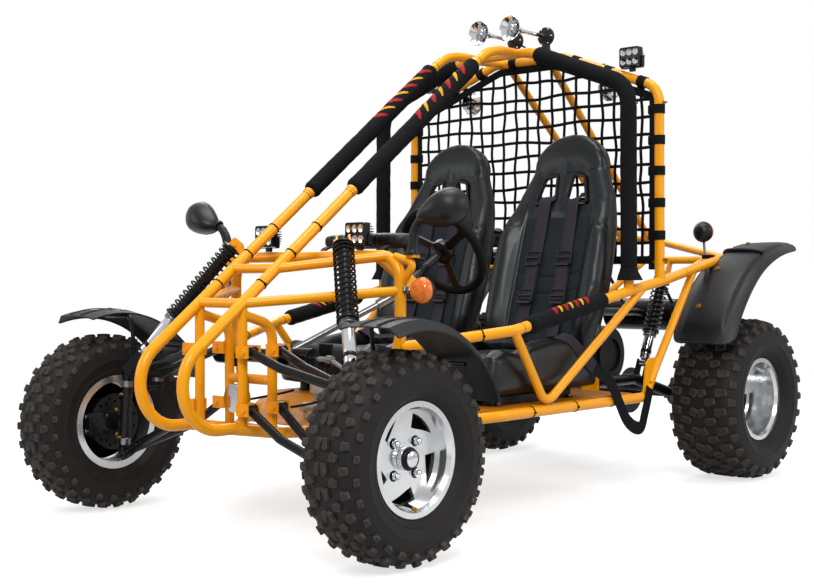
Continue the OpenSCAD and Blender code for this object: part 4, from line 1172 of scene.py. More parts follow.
@dataclass(frozen=True)
class Wheels:
    """The four tyres and the trim on their rims.

    Attributes:
        track_front: Distance between the middles of the front tyres.
        track_rear: Distance between the middles of the rear tyres.
        y_front: Place of the front axle.
        y_rear: Place of the rear axle.
        front: The front tyre.
        rear: The rear tyre.
    """

    track_front: float = 1.220
    track_rear: float = 1.110
    y_front: float = FRONT_AXLE_Y
    y_rear: float = REAR_AXLE_Y
    front: Tyre = Tyre(0.533, 0.178, FRONT_ROWS, 28)
    rear: Tyre = Tyre(0.559, 0.254, REAR_ROWS, 26)

    def build(self) -> None:
        """Makes the tyres and the trim of the rims."""
        front_at = place((self.track_front / 2, self.y_front, self.front.d / 2))
        rear_at = place((self.track_rear / 2, self.y_rear, self.rear.d / 2))
        tread = [s.at(front_at) for s in self.front.shells()]
        trim = [s.at(front_at) for s in RimTrim(0.0253, 0.0673).shells()]
        trim += [s.at(front_at) for s in self.brake()]
        looks = (CHROME, DARK_TRIM_AND_SHADE, RUBBER, GOLD_ZINC, STEEL)
        for side, turn in (("left", SAME), ("right", MIRROR)):
            body = f"wheel_front_{side}"
            build(f"tyre_tread_front_{side}", [s.at(turn) for s in tread], [TYRE, LUGS_PAINTED_LIGHT], body,
                  [f"tyre_front_{side}"], 30)
            build(f"rim_trim_front_{side}", [s.at(turn) for s in trim], looks, body)
        build("tyre_treads_rear", [s.at(rear_at).both() for s in self.rear.shells()], [TYRE, LUGS_PAINTED_LIGHT], "rear_wheels",
              ["rear_tyres"], 30)
        build("rim_trim_rear", [s.at(rear_at).both() for s in RimTrim(-0.0181, 0.0939).shells()], looks,
              "rear_wheels")

    def brake(self) -> list[Shell]:
        """The bolts and slotted carrier on the front brake disc, on the wheel's inner side, with painted shade in the
        disc's holes.

        Returns:
            The shells, round the X axis at the origin.
        """
        axis = place((-0.0535, 0, 0), (-1, 0, 0), (0, 0, 1))
        bolt = slab(circle(0.0056, 6), 0.0, 0.005, 0.0008, finish=3)
        # Dark discs at the brake disc's holes: painted shade where the holes look through.
        hole = lathe([(0.0001, 0.0), (0.0042, 0.0), (0.0042, 0.0006), (0.0001, 0.0006)], steps=16, finish=1)
        holes = np.concatenate([turns(12, r, a) for r, a in ((0.062, 0), (0.072, 15))])
        far = place((-0.0571, 0, 0), (-1, 0, 0), (0, 0, 1))
        return [bolt.at(np.asarray(axis) @ turns(6, 0.037, 0, 0.0068)), hole.at(np.asarray(far) @ holes)]


# Seats, belts and padding


def soften(piece: bpy.types.Object, pressure: float, steps: int, reach: float) -> None:
    """Fills a closed form as padding fills its cover: cloth under pressure, stopped after a short reach.

    Args:
        piece: The piece, with even faces.
        pressure: The cloth's inner pressure.
        steps: Frames of the simulation.
        reach: How far a point may move in metres.
    """
    mesh = piece.data
    before = np.zeros(len(mesh.vertices) * 3, np.float32)
    mesh.vertices.foreach_get("co", before)
    cloth = piece.modifiers.new("padding", "CLOTH")
    cloth.settings.quality = 4
    cloth.settings.mass = 0.4
    cloth.settings.use_pressure = True
    cloth.settings.uniform_pressure_force = pressure
    cloth.settings.effector_weights.gravity = 0
    cloth.settings.tension_stiffness = 12
    cloth.settings.compression_stiffness = 12
    cloth.settings.bending_stiffness = 0.6
    scene = bpy.context.scene
    for number in range(1, steps + 1):
        scene.frame_set(number)
    graph = bpy.context.evaluated_depsgraph_get()
    swollen = piece.evaluated_get(graph).to_mesh()
    after = np.zeros_like(before)
    swollen.vertices.foreach_get("co", after)
    piece.evaluated_get(graph).to_mesh_clear()
    piece.modifiers.remove(cloth)
    scene.frame_set(1)
    move = (after - before).reshape(-1, 3)
    far = np.linalg.norm(move, axis=1, keepdims=True)
    move *= np.minimum(1.0, reach / np.maximum(far, 1e-9))
    mesh.vertices.foreach_set("co", (before.reshape(-1, 3) + move).ravel())
    mesh.update()


def step_up(value: Array, low: float, high: float) -> Array:
    """Rises smoothly from 0 to 1.

    Args:
        value: The values.
        low: Where it is 0.
        high: Where it is 1.

    Returns:
        The shares.
    """
    t = np.clip((value - low) / (high - low), 0, 1)
    return t * t * (3 - 2 * t)


@dataclass(frozen=True)
class Seat:
    """A bucket seat: a padded back with two framed holes, and a padded cushion.

    Attributes:
        x: Its middle.
        foot_y: Foot of the back.
        foot_z: Height of that foot.
        w: Width.
        h: Length of the back along its slope.
        t: Thickness of the back.
        recline: Slope of the back in degrees.
        side_h: How far the side bolsters stand out.
        cell: Size of a face.
    """

    x: float = 0.250
    foot_y: float = 0.122
    foot_z: float = 0.452
    w: float = 0.440
    h: float = 0.7665
    t: float = 0.060
    recline: float = 17.0
    side_h: float = 0.040
    cell: float = 0.0046

    def back_place(self) -> Array:
        """The place of the back's foot.

        Returns:
            The place: X across, Y up the back, Z out of its front.
        """
        up = math.radians(90 - self.recline)
        return place((self.x, self.foot_y, self.foot_z), (0, -math.sin(up), math.cos(up)))

    def outline(self) -> Array:
        """The back's outline: narrow foot, wide shoulders and a round head.

        Returns:
            Its corner points.
        """
        w, h = self.w, self.h
        a = np.radians(np.arange(0, 181, 15))
        head = np.stack([w * 0.325 * np.cos(a), h - w * 0.29 + w * 0.29 * np.sin(a)], 1)
        right = [[w * 0.43, 0.0], [w * 0.475, h * 0.16], [w * 0.495, h * 0.32], [w * 0.488, h * 0.46],
                 [w * 0.465, h * 0.6], [w * 0.415, h * 0.72]]
        left = [[-x, y] for x, y in right[::-1]]
        return np.array([*right, *head, *left])

    def hole(self, side: float, grow: float = 0.0) -> Array:
        """Outline of a hole for a shoulder belt.

        Args:
            side: 1 or -1.
            grow: How far the outline is moved outwards.

        Returns:
            Anticlockwise pairs.
        """
        h = self.h
        corner = np.array([[0.020, h * 0.690], [0.104, h * 0.676], [0.080, h * 0.797], [0.030, h * 0.812]])
        line = flowing(np.concatenate([corner, corner[:1]]), 1)[:-1]
        line = rounded(np.concatenate([line[-1:] * 0.5 + line[:1] * 0.5, line, line[-1:] * 0.5 + line[:1] * 0.5]),
                       0.012, 4)[:-1]
        line = inset(line, -grow)
        return line if side > 0 else line[::-1] * [-1, 1]

    def back_form(self, u: Array, v: Array, n: Array) -> Array:
        """Distance to the back: raised bolsters, a dished panel, a full head and rounded edges.

        Args:
            u: Places across the back.
            v: Places up the back.
            n: Places out of the back.

        Returns:
            Distances, negative inside.
        """
        side = np.abs(u) / self.w
        lift = step_up(v, -0.01, 0.16 * self.h) * (1 - step_up(v, 0.50 * self.h, 0.72 * self.h))
        bolster = step_up(side, 0.27, 0.41) * self.side_h * lift
        head = 0.012 * step_up(v, 0.80 * self.h, 0.92 * self.h)
        seams = 0.004 * np.exp(-((side - 0.285) * self.w / 0.0042) ** 2) * step_up(v, 0.0, 0.05) \
            * (1 - step_up(v, 0.60 * self.h, 0.66 * self.h))
        for share in (0.27, 0.345):
            line = share * self.h + 0.016 * (side / 0.285) ** 2
            seams = seams + 0.0035 * np.exp(-((v - line) / 0.0042) ** 2) * (1 - step_up(side, 0.27, 0.29))
        shoulder = 0.0035 * np.exp(-((v - 0.615 * self.h - 0.05 * np.cos(side * TAU)) / 0.0042) ** 2) \
            * step_up(side, 0.30, 0.34)
        spine = 0.006 * np.exp(-(u / 0.030) ** 2) * step_up(v, 0.6 * self.h, 0.68 * self.h) \
            * (1 - step_up(v, 0.82 * self.h, 0.88 * self.h))
        front = bolster + head - seams - shoulder + spine - 0.006 * (1 - step_up(side, 0.0, 0.27)) * lift - 0.004
        back = -self.t + 0.006 * (side / 0.5) ** 2
        edge = 0.024
        thick, middle = front - back, (front + back) / 2
        flat = outline_field(u, v, self.outline()) + edge
        deep = np.abs(n - middle) - thick / 2 + edge
        form = np.minimum(np.maximum(flat, deep), 0) + np.hypot(np.maximum(flat, 0), np.maximum(deep, 0)) - edge
        flare = 0.036 * step_up(-n, 0.010, 0.030)
        for way in (1, -1):
            form = carve(form, outline_field(u, v, self.hole(way)) - flare, 0.010)
        return form

    def cushion_form(self, x: Array, y: Array, z: Array) -> Array:
        """Distance to the cushion: a rolled front edge, round bolsters and a crowned middle between them.

        Args:
            x: Places across the kart.
            y: Places along it.
            z: Heights.

        Returns:
            Distances, negative inside.
        """
        side = np.abs(x - self.x)
        rim = np.array([[-0.334, 0.362], [0.186, 0.362], [0.196, 0.410], [0.150, 0.470], [0.060, 0.504],
                        [-0.050, 0.514], [-0.150, 0.500], [-0.215, 0.480], [-0.290, 0.494], [-0.336, 0.474],
                        [-0.350, 0.420]])
        edge = 0.028
        flat = outline_field(y, z, rim) + edge
        deep = side - 0.210 + edge
        form = np.minimum(np.maximum(flat, deep), 0) + np.hypot(np.maximum(flat, 0), np.maximum(deep, 0)) - edge
        crown = 0.458 + 0.012 * np.cos(np.clip(side / 0.150, 0, 1) * math.pi / 2) \
            - 0.004 * np.exp(-((y + 0.08) / 0.0045) ** 2) + 0.020 * step_up(-y, 0.19, 0.30)
        channel = np.maximum(crown - z, side - 0.146)
        form = carve(form, channel, 0.026)
        return np.maximum(form, 0.356 + 0.003 - z)

    def build(self) -> None:
        """Makes both seats: the driver's is padded by simulation and the other is its mirror image."""
        at = self.back_place()
        reach = 0.006
        back = cast(self.back_form, (-0.23, -0.012, -0.072), (0.23, self.h + 0.012, 0.055), self.cell).at(at)
        cushion = cast(self.cushion_form, (self.x - 0.225, -0.362, 0.352), (self.x + 0.225, 0.205, 0.526),
                       self.cell)
        for part, shell in (("back", back), ("cushion", cushion)):
            left = build(f"seat_{part}_left", [shell], [VINYL, MESH_CLOTH], "root", ["seat_left"], 60)
            soften(left, 2.5, 12, reach)
            self.mark(left, part)
            mesh = left.data.copy()
            mesh.transform(Matrix(MIRROR.tolist()))
            mesh.flip_normals()
            right = bpy.data.objects.new(f"seat_{part}_right", mesh)
            bpy.context.scene.collection.objects.link(right)
            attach(right, "root")
            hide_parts("seat_right")
            log.info("seat %s: %d faces a side", part, len(mesh.polygons))
        self.build_trim(at)

    def mark(self, piece: bpy.types.Object, part: str) -> None:
        """Gives the middle panel its own cloth.

        Args:
            piece: The back or the cushion.
            part: Which of the two.
        """
        mesh = piece.data
        centres = np.zeros(len(mesh.polygons) * 3, np.float32)
        mesh.polygons.foreach_get("center", centres)
        spot = centres.reshape(-1, 3)
        inner = np.abs(spot[:, 0] - self.x) < (0.285 * self.w if part == "back" else 0.128)
        if part == "back":
            local = (np.linalg.inv(self.back_place()) @ np.column_stack([spot, np.ones(len(spot))]).T).T
            inner &= (local[:, 1] < 0.61 * self.h) & (local[:, 2] > -0.03)
        else:
            inner &= spot[:, 2] > 0.42
        mesh.polygons.foreach_set("material_index", inner.astype(np.int32))
        mesh.update()

    def build_trim(self, at: Array) -> None:
        """Makes the holes' frames, the piping round the backs and the seats' rails.

        Args:
            at: Place of the back's foot.
        """
        ring = oblong(0.010, 0.009, 0.003, 2)
        shells = []
        for way in (1, -1):
            line = self.hole(way, -0.001)
            path = np.column_stack([line, np.full(len(line), -0.0015)])
            shells.append(sweep(path, ring, (0, 0, 1), closed=True).at(at))
            deep = np.stack([np.column_stack([self.hole(way, 0.0005), np.full(len(line), z)])
                             for z in (-0.014, -0.010, -0.004, 0.0)])
            wall = np.stack([np.column_stack([self.hole(way, -0.003), np.full(len(line), z)])
                             for z in (0.0, -0.004, -0.010, -0.014)])
            shells.append(skin(np.concatenate([deep, wall]), loop=True).at(at))
        edge = inset(self.outline(), 0.004)
        smooth = flowing(np.concatenate([edge[5:], edge[:6]]), 3)
        keep = smooth[:, 1] > 0.05
        line = smooth[keep]
        piping = sweep(np.column_stack([line, np.full(len(line), -0.045)]), circle(0.0036, 8), (0, 0, 1))
        shells.append(piping.at(at))
        rail = slab(oblong(0.036, 0.400, 0.006), 0.0, 0.026, 0.002)
        rails = [place((self.x + dx, -0.090, 0.3285)) for dx in (-0.140, 0.140)]
        foot = slab(oblong(0.060, 0.030, 0.005), 0.0, 0.004, 0.001)
        feet = [place((self.x + dx, y, 0.3290)) for dx in (-0.140, 0.140) for y in (-0.270, 0.090)]
        bolt = slab(circle(0.007, 6), 0.0, 0.006, 0.001, finish=1)
        heads = [place((self.x + dx, y, 0.333)) for dx in (-0.163, -0.117, 0.117, 0.163) for y in (-0.270, 0.090)]
        shells += [rail.at(rails), foot.at(feet), bolt.at(heads)]
        build("seat_trim", [s.both() for s in shells], [BLACK_PLASTIC, GOLD_ZINC], "root")


@dataclass(frozen=True)
class Harness:
    """The shoulder and lap belts of both seats, with their adjusters.

    Attributes:
        seat: The seat that they lie on.
        width: Width of the webbing.
        thick: Its thickness.
        spread: Distance of a shoulder belt from the seat's middle.
    """

    seat: Seat
    width: float = 0.047
    thick: float = 0.0022
    spread: float = 0.056

    def belt(self, points: Sequence[Sequence[float]], face: Array | Sequence[float], width: float = 0.0) -> Shell:
        """A belt along a smooth line.

        Args:
            points: Points of the line, through the middle of its thickness.
            face: Direction that the belt's flat side looks to, one for all or one a point of the smooth line.
            width: Its width, or nil for the usual one.

        Returns:
            The belt.
        """
        w = (width or self.width) / 2
        t = self.thick / 2
        profile = np.array([[-w, -t * 0.3], [-w * 0.97, -t], [-w / 3, -t * 0.8], [w / 3, -t * 0.8], [w * 0.97, -t],
                            [w, -t * 0.3], [w, t * 0.3], [w * 0.97, t], [w / 3, t * 0.75], [-w / 3, t * 0.75],
                            [-w * 0.97, t], [-w, t * 0.3]])
        return sweep(flowing(points, 8), profile, face)

    def adjuster(self, at: Array) -> list[Shell]:
        """A ladder adjuster: a frame with a bar, lying on the belt.

        Args:
            at: Its place, X across the belt, Y along it and Z out of it.

        Returns:
            The shells, of the second finish.
        """
        w = self.width
        frame_line = rounded([(0, -0.022, 0), (w * 0.60, -0.022, 0), (w * 0.54, 0.022, 0), (-w * 0.54, 0.022, 0),
                              (-w * 0.60, -0.022, 0), (-0.0001, -0.022, 0)], 0.006, 4)
        hoop = sweep(frame_line[:-1], oblong(0.0050, 0.0048, 0.0014, 2), (0, 0, 1), closed=True, finish=1)
        bar = sweep(np.array([[-w * 0.56, 0.003, 0.002], [0, 0.003, 0.003], [w * 0.56, 0.003, 0.002]]),
                    oblong(0.0085, 0.0042, 0.0014, 2), (0, 0, 1), finish=1)
        grip = sweep(np.array([[-w * 0.55, -0.022, 0.0035], [0, -0.022, 0.0045], [w * 0.55, -0.022, 0.0035]]),
                     oblong(0.0110, 0.0050, 0.0018, 2), (0, 0, 1), finish=1)
        return [s.at(at) for s in (hoop, bar, grip)]

    def build(self) -> None:
        """Makes the belts of both seats."""
        at = self.seat.back_place()
        h = self.seat.h
        shells = []
        for way in (1, -1):
            x = way * self.spread
            line = [(x * 0.92, h * 0.755, -0.066), (x * 0.94, h * 0.728, -0.050), (x * 0.97, h * 0.704, -0.010),
                    (x, h * 0.684, 0.0075), (x * 1.02, h * 0.62, 0.0068), (x * 1.06, h * 0.46, 0.0020),
                    (x * 1.12, h * 0.30, 0.0020), (x * 1.18, h * 0.17, 0.0055), (x * 1.20, h * 0.08, 0.012)]
            shells.append(self.belt(line, (way * -0.05, 0, 1)).at(at))
            loose = [(x * 1.06, h * 0.405, 0.0090), (x * 1.09, h * 0.36, 0.0105), (x * 1.10, h * 0.30, 0.0090),
                     (x * 1.12, h * 0.24, 0.0115)]
            shells.append(self.belt(loose, (0, 0.1, 1), self.width * 0.96).at(at))
            for share, lift in ((0.425, 0.0100), (0.255, 0.0120)):
                spot = place((x * (1.09 + 0.4 * (0.425 - share)), h * share, lift), (0, 0, 1))
                shells += [s.at(at) for s in self.adjuster(spot)]
        sx = self.seat.x
        side = [(sx + 0.070, 0.070, 0.500), (sx + 0.120, 0.040, 0.498), (sx + 0.165, 0.030, 0.522),
                (sx + 0.200, 0.050, 0.508), (sx + 0.2165, 0.090, 0.462), (sx + 0.2175, 0.150, 0.420)]
        far = [(2 * sx - p[0], p[1], p[2]) for p in side]
        looks = np.array([(0, -0.3, 1), (0.1, -0.3, 1), (0.5, -0.2, 1), (1, 0, 0.5), (1, 0, 0.1), (1, 0, 0)])
        spread_looks = flowing(looks, 8)
        shells.append(self.belt(side, spread_looks))
        shells.append(self.belt(far, spread_looks * [-1, 1, 1]))
        buckle = cast(lambda x, y, z: np.hypot(np.hypot(np.maximum(np.abs(x - sx) - 0.022, 0),
                                                        np.maximum(np.abs(y - 0.045) - 0.030, 0)),
                                               np.maximum(np.abs(z - 0.490) - 0.006, 0)) - 0.007,
                      (sx - 0.04, 0.0, 0.470), (sx + 0.04, 0.09, 0.510), 0.003, finish=1)
        tongue = [(sx - 0.070, 0.068, 0.500), (sx - 0.030, 0.052, 0.496), (sx + 0.030, 0.052, 0.496),
                  (sx + 0.070, 0.070, 0.500)]
        shells += [buckle, self.belt(tongue, (0, -0.25, 1), self.width * 0.9)]
        build("harness_belts", [s.both() for s in shells], [WEBBING, BLACK_PLASTIC], "root",
              ["harness"], 50)


@dataclass(frozen=True)
class Net:
    """The webbing net in the rear hoop.

    Attributes:
        y: Its plane.
        half: Half its width.
        low: Its lower edge.
        corner: Height where its sides lean in.
        top: Its upper edge.
        flat: Half the width of its upper edge.
        pitch: Distance between its webs.
        web: Width of a web.
    """

    y: float = 0.4285
    half: float = 0.508
    low: float = 0.760
    corner: float = 1.292
    top: float = 1.434
    flat: float = 0.120
    pitch: float = 0.052
    web: float = 0.0105

    def edge_at(self, z: Array) -> Array:
        """Half the net's width at a height.

        Args:
            z: Heights.

        Returns:
            The half widths.
        """
        lean = (self.half - self.flat) * (z - self.corner) / (self.top - self.corner)
        return self.half - np.maximum(lean, 0)

    def web_line(self, ends: Array, phase: float) -> Array:
        """The line of a web: straight between its ends, with the slight wander of hand-sewn webbing.

        Args:
            ends: Its two end points in the net's plane.
            phase: Where its wander starts.

        Returns:
            The line's points in space.
        """
        t = np.linspace(0, 1, 41)[:, None]
        line = ends[0] + t * (ends[1] - ends[0])
        ahead = unit(ends[1] - ends[0])
        wander = 0.0042 * np.sin(t[:, 0] * 9.3 + phase) + 0.0026 * np.sin(t[:, 0] * 23.1 + phase * 2.3)
        fade = np.sin(np.clip(t[:, 0], 0, 1) * math.pi) ** 0.5
        line = line + (wander * fade)[:, None] * np.array([-ahead[1], ahead[0]])
        deep = 0.0012 * np.sin(lengths(line) / self.pitch * math.pi + phase)
        return np.column_stack([line[:, 0], self.y + deep, line[:, 1]])

    def build(self) -> None:
        """Makes the webs, the edge band and the straps round the hoop."""
        flat = np.array([[-self.web / 2, -0.0008], [self.web / 2, -0.0008], [self.web / 2, 0.0008],
                         [-self.web / 2, 0.0008]])
        shells, area = [], 0.0
        for i in range(-9, 10):
            x = i * self.pitch
            top = self.corner + (self.half - abs(x)) / (self.half - self.flat) * (self.top - self.corner)
            top = min(top, self.top) - 0.004
            line = self.web_line(np.array([[x, self.low + 0.004], [x * 0.99, top]]), i * 1.7)
            shells.append(sweep(line, flat, (0, 1, 0)))
            area += lengths(line)[-1] * self.web
        for j in range(1, 13):
            z = self.low + j * self.pitch
            edge = float(self.edge_at(np.array(z + 0.004))) - 0.004
            line = self.web_line(np.array([[-edge, z], [edge, z + 0.006 * math.sin(j * 2.1)]]), j * 2.9)
            shells.append(sweep(line + [0, 0.0018, 0], flat, (0, 1, 0)))
            area += lengths(line)[-1] * self.web
        rim = [(-self.half, self.low), (self.half, self.low), (self.half, self.corner), (self.flat, self.top),
               (-self.flat, self.top), (-self.half, self.corner)]
        rim_line = rounded([((rim[-1][0] + rim[0][0]) / 2, (rim[-1][1] + rim[0][1]) / 2), *rim,
                            ((rim[-1][0] + rim[0][0]) / 2, (rim[-1][1] + rim[0][1]) / 2)], 0.02, 5)[:-1]
        edging = sweep(np.column_stack([rim_line[:, 0], np.full(len(rim_line), self.y), rim_line[:, 1]]),
                        oblong(0.026, 0.0034, 0.001, 2), (0, 1, 0), closed=True)
        area += float(lengths(rim_line)[-1]) * 0.026
        net = build("net_webs", [*shells, edging], [NET_WEB], "root", ["safety_net"], 50)
        log.info("net: %.3f square metres of webbing", area)
        loop = lathe([(0.0164, -0.015), (0.0187, -0.0148), (0.0190, 0.0148), (0.0164, 0.015)], steps=32, closed=True)
        tail = slab(oblong(0.030, 0.030, 0.003), -0.0014, 0.0014, 0.0006)
        shells = []
        for z in (0.840, 0.946, 1.050, 1.150, 1.250):
            x = 0.533 - 0.003 * (z - 0.742) / 0.58
            shells.append(loop.at(place((x, 0.430, z))))
            shells.append(tail.at(place((x - 0.026, 0.428, z), (0, 1, 0))))
        for share in (0.16, 0.5, 0.84):
            spot = np.array([0.530 - share * 0.385, 0.430, 1.322 + share * 0.140])
            lean = np.array([-0.385, 0.0, 0.140])
            shells.append(loop.at(place(spot, lean)))
            down = unit(np.array([-0.140, 0.0, -0.385]))
            shells.append(tail.at(place(spot + down * 0.026, (0, 1, 0), lean)))
        shells.append(loop.at(place((0.060, 0.430, 1.462), (1, 0, 0))))
        shells.append(tail.at(place((0.060, 0.428, 1.436), (0, 1, 0))))
        build("net_straps", [s.both() for s in shells], [NET_WEB], "root", (), 50)


NOSE_SLOPE = math.tan(math.radians(37.6))


def nose(y: float) -> Array:
    """The point of the left nose tube's axis at a place along the kart: a straight line at the nose's slope.

    Args:
        y: The place.

    Returns:
        The point.
    """
    return np.array([0.090, y, 0.636 + (y + 0.9665) * NOSE_SLOPE])


@dataclass(frozen=True)
class Sleeve:
    """A foam sleeve in a cloth cover on a tube.

    Attributes:
        name: The piece's name.
        line: Corner points of the tube that it covers.
        bend: How far from a corner its curve starts.
        hem: Whether its last end flares into a loose hem.
        bands: Shares of its length that bear the coloured bands, or none.
        inner: Radius of its bore.
        outer: Radius of the sleeve.
    """

    name: str
    line: tuple[tuple[float, float, float], ...]
    bend: float = 0.07
    hem: bool = False
    bands: tuple[float, float] | None = None
    inner: float = 0.0163
    outer: float = 0.0262

    def shells(self) -> list[Shell]:
        """The cover, its lengthways seam and its end hems.

        Returns:
            The shells: 0 cover, 1 red band, 2 yellow band.
        """
        corners = np.array(self.line)
        rough = rounded(corners, self.bend, 10) if len(corners) > 2 else corners
        far = lengths(rough)
        count = int(far[-1] / 0.008) + 2
        s = np.linspace(0, far[-1], count)
        path = np.stack([np.interp(s, far, rough[:, k]) for k in range(3)], 1)
        flat = unit(np.cross(corners[1] - corners[0], corners[-1] - corners[-2])) if len(corners) > 2 else None
        across = flat if flat is not None and np.linalg.norm(flat) > 0.5 else np.array([1.0, 0.0, 0.0])
        a = np.arange(32) / 32 * TAU
        end = np.minimum(s, far[-1] - s)
        soft = 1 - 0.30 * np.exp(-(end / 0.006) ** 2) + 0.035 * np.exp(-((end - 0.016) / 0.006) ** 2)
        wrinkle = 0.00045 * np.sin(s * 61)[:, None] * np.sin(2 * a + s[:, None] * 9)[None][0] \
            + 0.0003 * np.sin(s[:, None] * 143 + 3 * a)
        groove = 0.0012 * np.exp(-((a[None] - 3.6) / 0.07) ** 2)
        r = self.outer * soft[:, None] + wrinkle - groove
        t = unit(np.gradient(path, axis=0))
        side = unit(np.cross(t, across))
        up = np.cross(side, t)
        rows = path[:, None] + r[..., None] * (np.cos(a)[None, :, None] * side[:, None]
                                               + np.sin(a)[None, :, None] * up[:, None])
        bore = path[::-1, None] + self.inner * (np.cos(a)[None, :, None] * side[::-1, None]
                                                + np.sin(a)[None, :, None] * up[::-1, None])
        shells = [skin(np.concatenate([rows, bore]), loop=True)]
        if self.hem:
            n = 48
            b = np.arange(n) / n * TAU
            hem_rows = []
            for drop, grow in ((0.010, 0.0268), (0.0, 0.0285), (-0.014, 0.033), (-0.030, 0.038)):
                ripple = grow + (grow - 0.0265) * 0.55 * np.sin(5 * b + drop * 60)
                centre = path[0] + t[0] * drop
                spoke = np.cos(b)[:, None] * side[0] + np.sin(b)[:, None] * up[0]
                hem_rows.append(centre + ripple[:, None] * spoke)
            inner_rows = [row + (path[0] - row) * 0.045 for row in hem_rows[::-1]]
            shells.append(skin(np.stack(hem_rows + inner_rows), loop=True))
        if self.bands:
            shells += self.band_shells(path, side, up, s)
        return shells

    def band_shells(self, path: Array, side: Array, up: Array, s: Array) -> list[Shell]:
        """Slanting bands printed on the cover: narrow strips that run round it as they run along it.

        Args:
            path: The sleeve's middle line.
            side: First direction round it at each point.
            up: Second direction round it.
            s: Distance along it at each point.

        Returns:
            The strips.
        """
        low, high = self.bands or (0.0, 0.0)
        shells = []
        total = s[-1]
        for k in range(7):
            start = (low + (high - low) * k / 7) * total
            run = np.linspace(0, 1, 13)
            where = start + run * (high - low) * total / 7 * 1.25
            turn = 2.1 + run * 2.2
            centre = np.stack([np.interp(where, s, path[:, j]) for j in range(3)], 1)
            u = np.stack([np.interp(where, s, side[:, j]) for j in range(3)], 1)
            v = np.stack([np.interp(where, s, up[:, j]) for j in range(3)], 1)
            out = unit(np.cos(turn)[:, None] * u + np.sin(turn)[:, None] * v)
            taper = 0.35 + 0.65 * np.sin(run * math.pi)
            wide = 0.0062 if k % 2 else 0.0085
            profile = np.array([[-wide, 0.0], [wide, 0.0], [wide * 0.8, 0.0007], [-wide * 0.8, 0.0007]])
            shells.append(sweep(centre + out * (self.outer + 0.0001), profile, out, size=taper, finish=1 + k % 2))
        return shells


@dataclass(frozen=True)
class Padding:
    """The foam sleeves on the cage and the side rails."""

    def build(self) -> None:
        """Makes a sleeve for each side of the roof, the hoop and the doors."""
        sleeves = (
            (Sleeve("roof_sleeve", (nose(-0.5425), nose(0.0185)), bands=(0.5, 0.94)), "tube_pads"),
            (Sleeve("door_sleeve", ((0.5066, -0.2508, 0.5637), (0.5238, 0.1164, 0.6343)), bands=(0.30, 0.78)),
             "tube_pads"),
            (Sleeve("hoop_sleeve", ((0.530, 0.250, 0.724), (0.527, 0.250, 1.312), (0.1679, 0.250, 1.4474)), hem=True),
             "hoop_pad"),
        )
        for sleeve, node in sleeves:
            shells = sleeve.shells()
            for side, turn in (("left", SAME), ("right", MIRROR)):
                made = build(f"{sleeve.name}_{side}", [s.at(turn) for s in shells], [FOAM, BAND_RED, BAND_YELLOW],
                             "root", [node], 50)


# Suspension


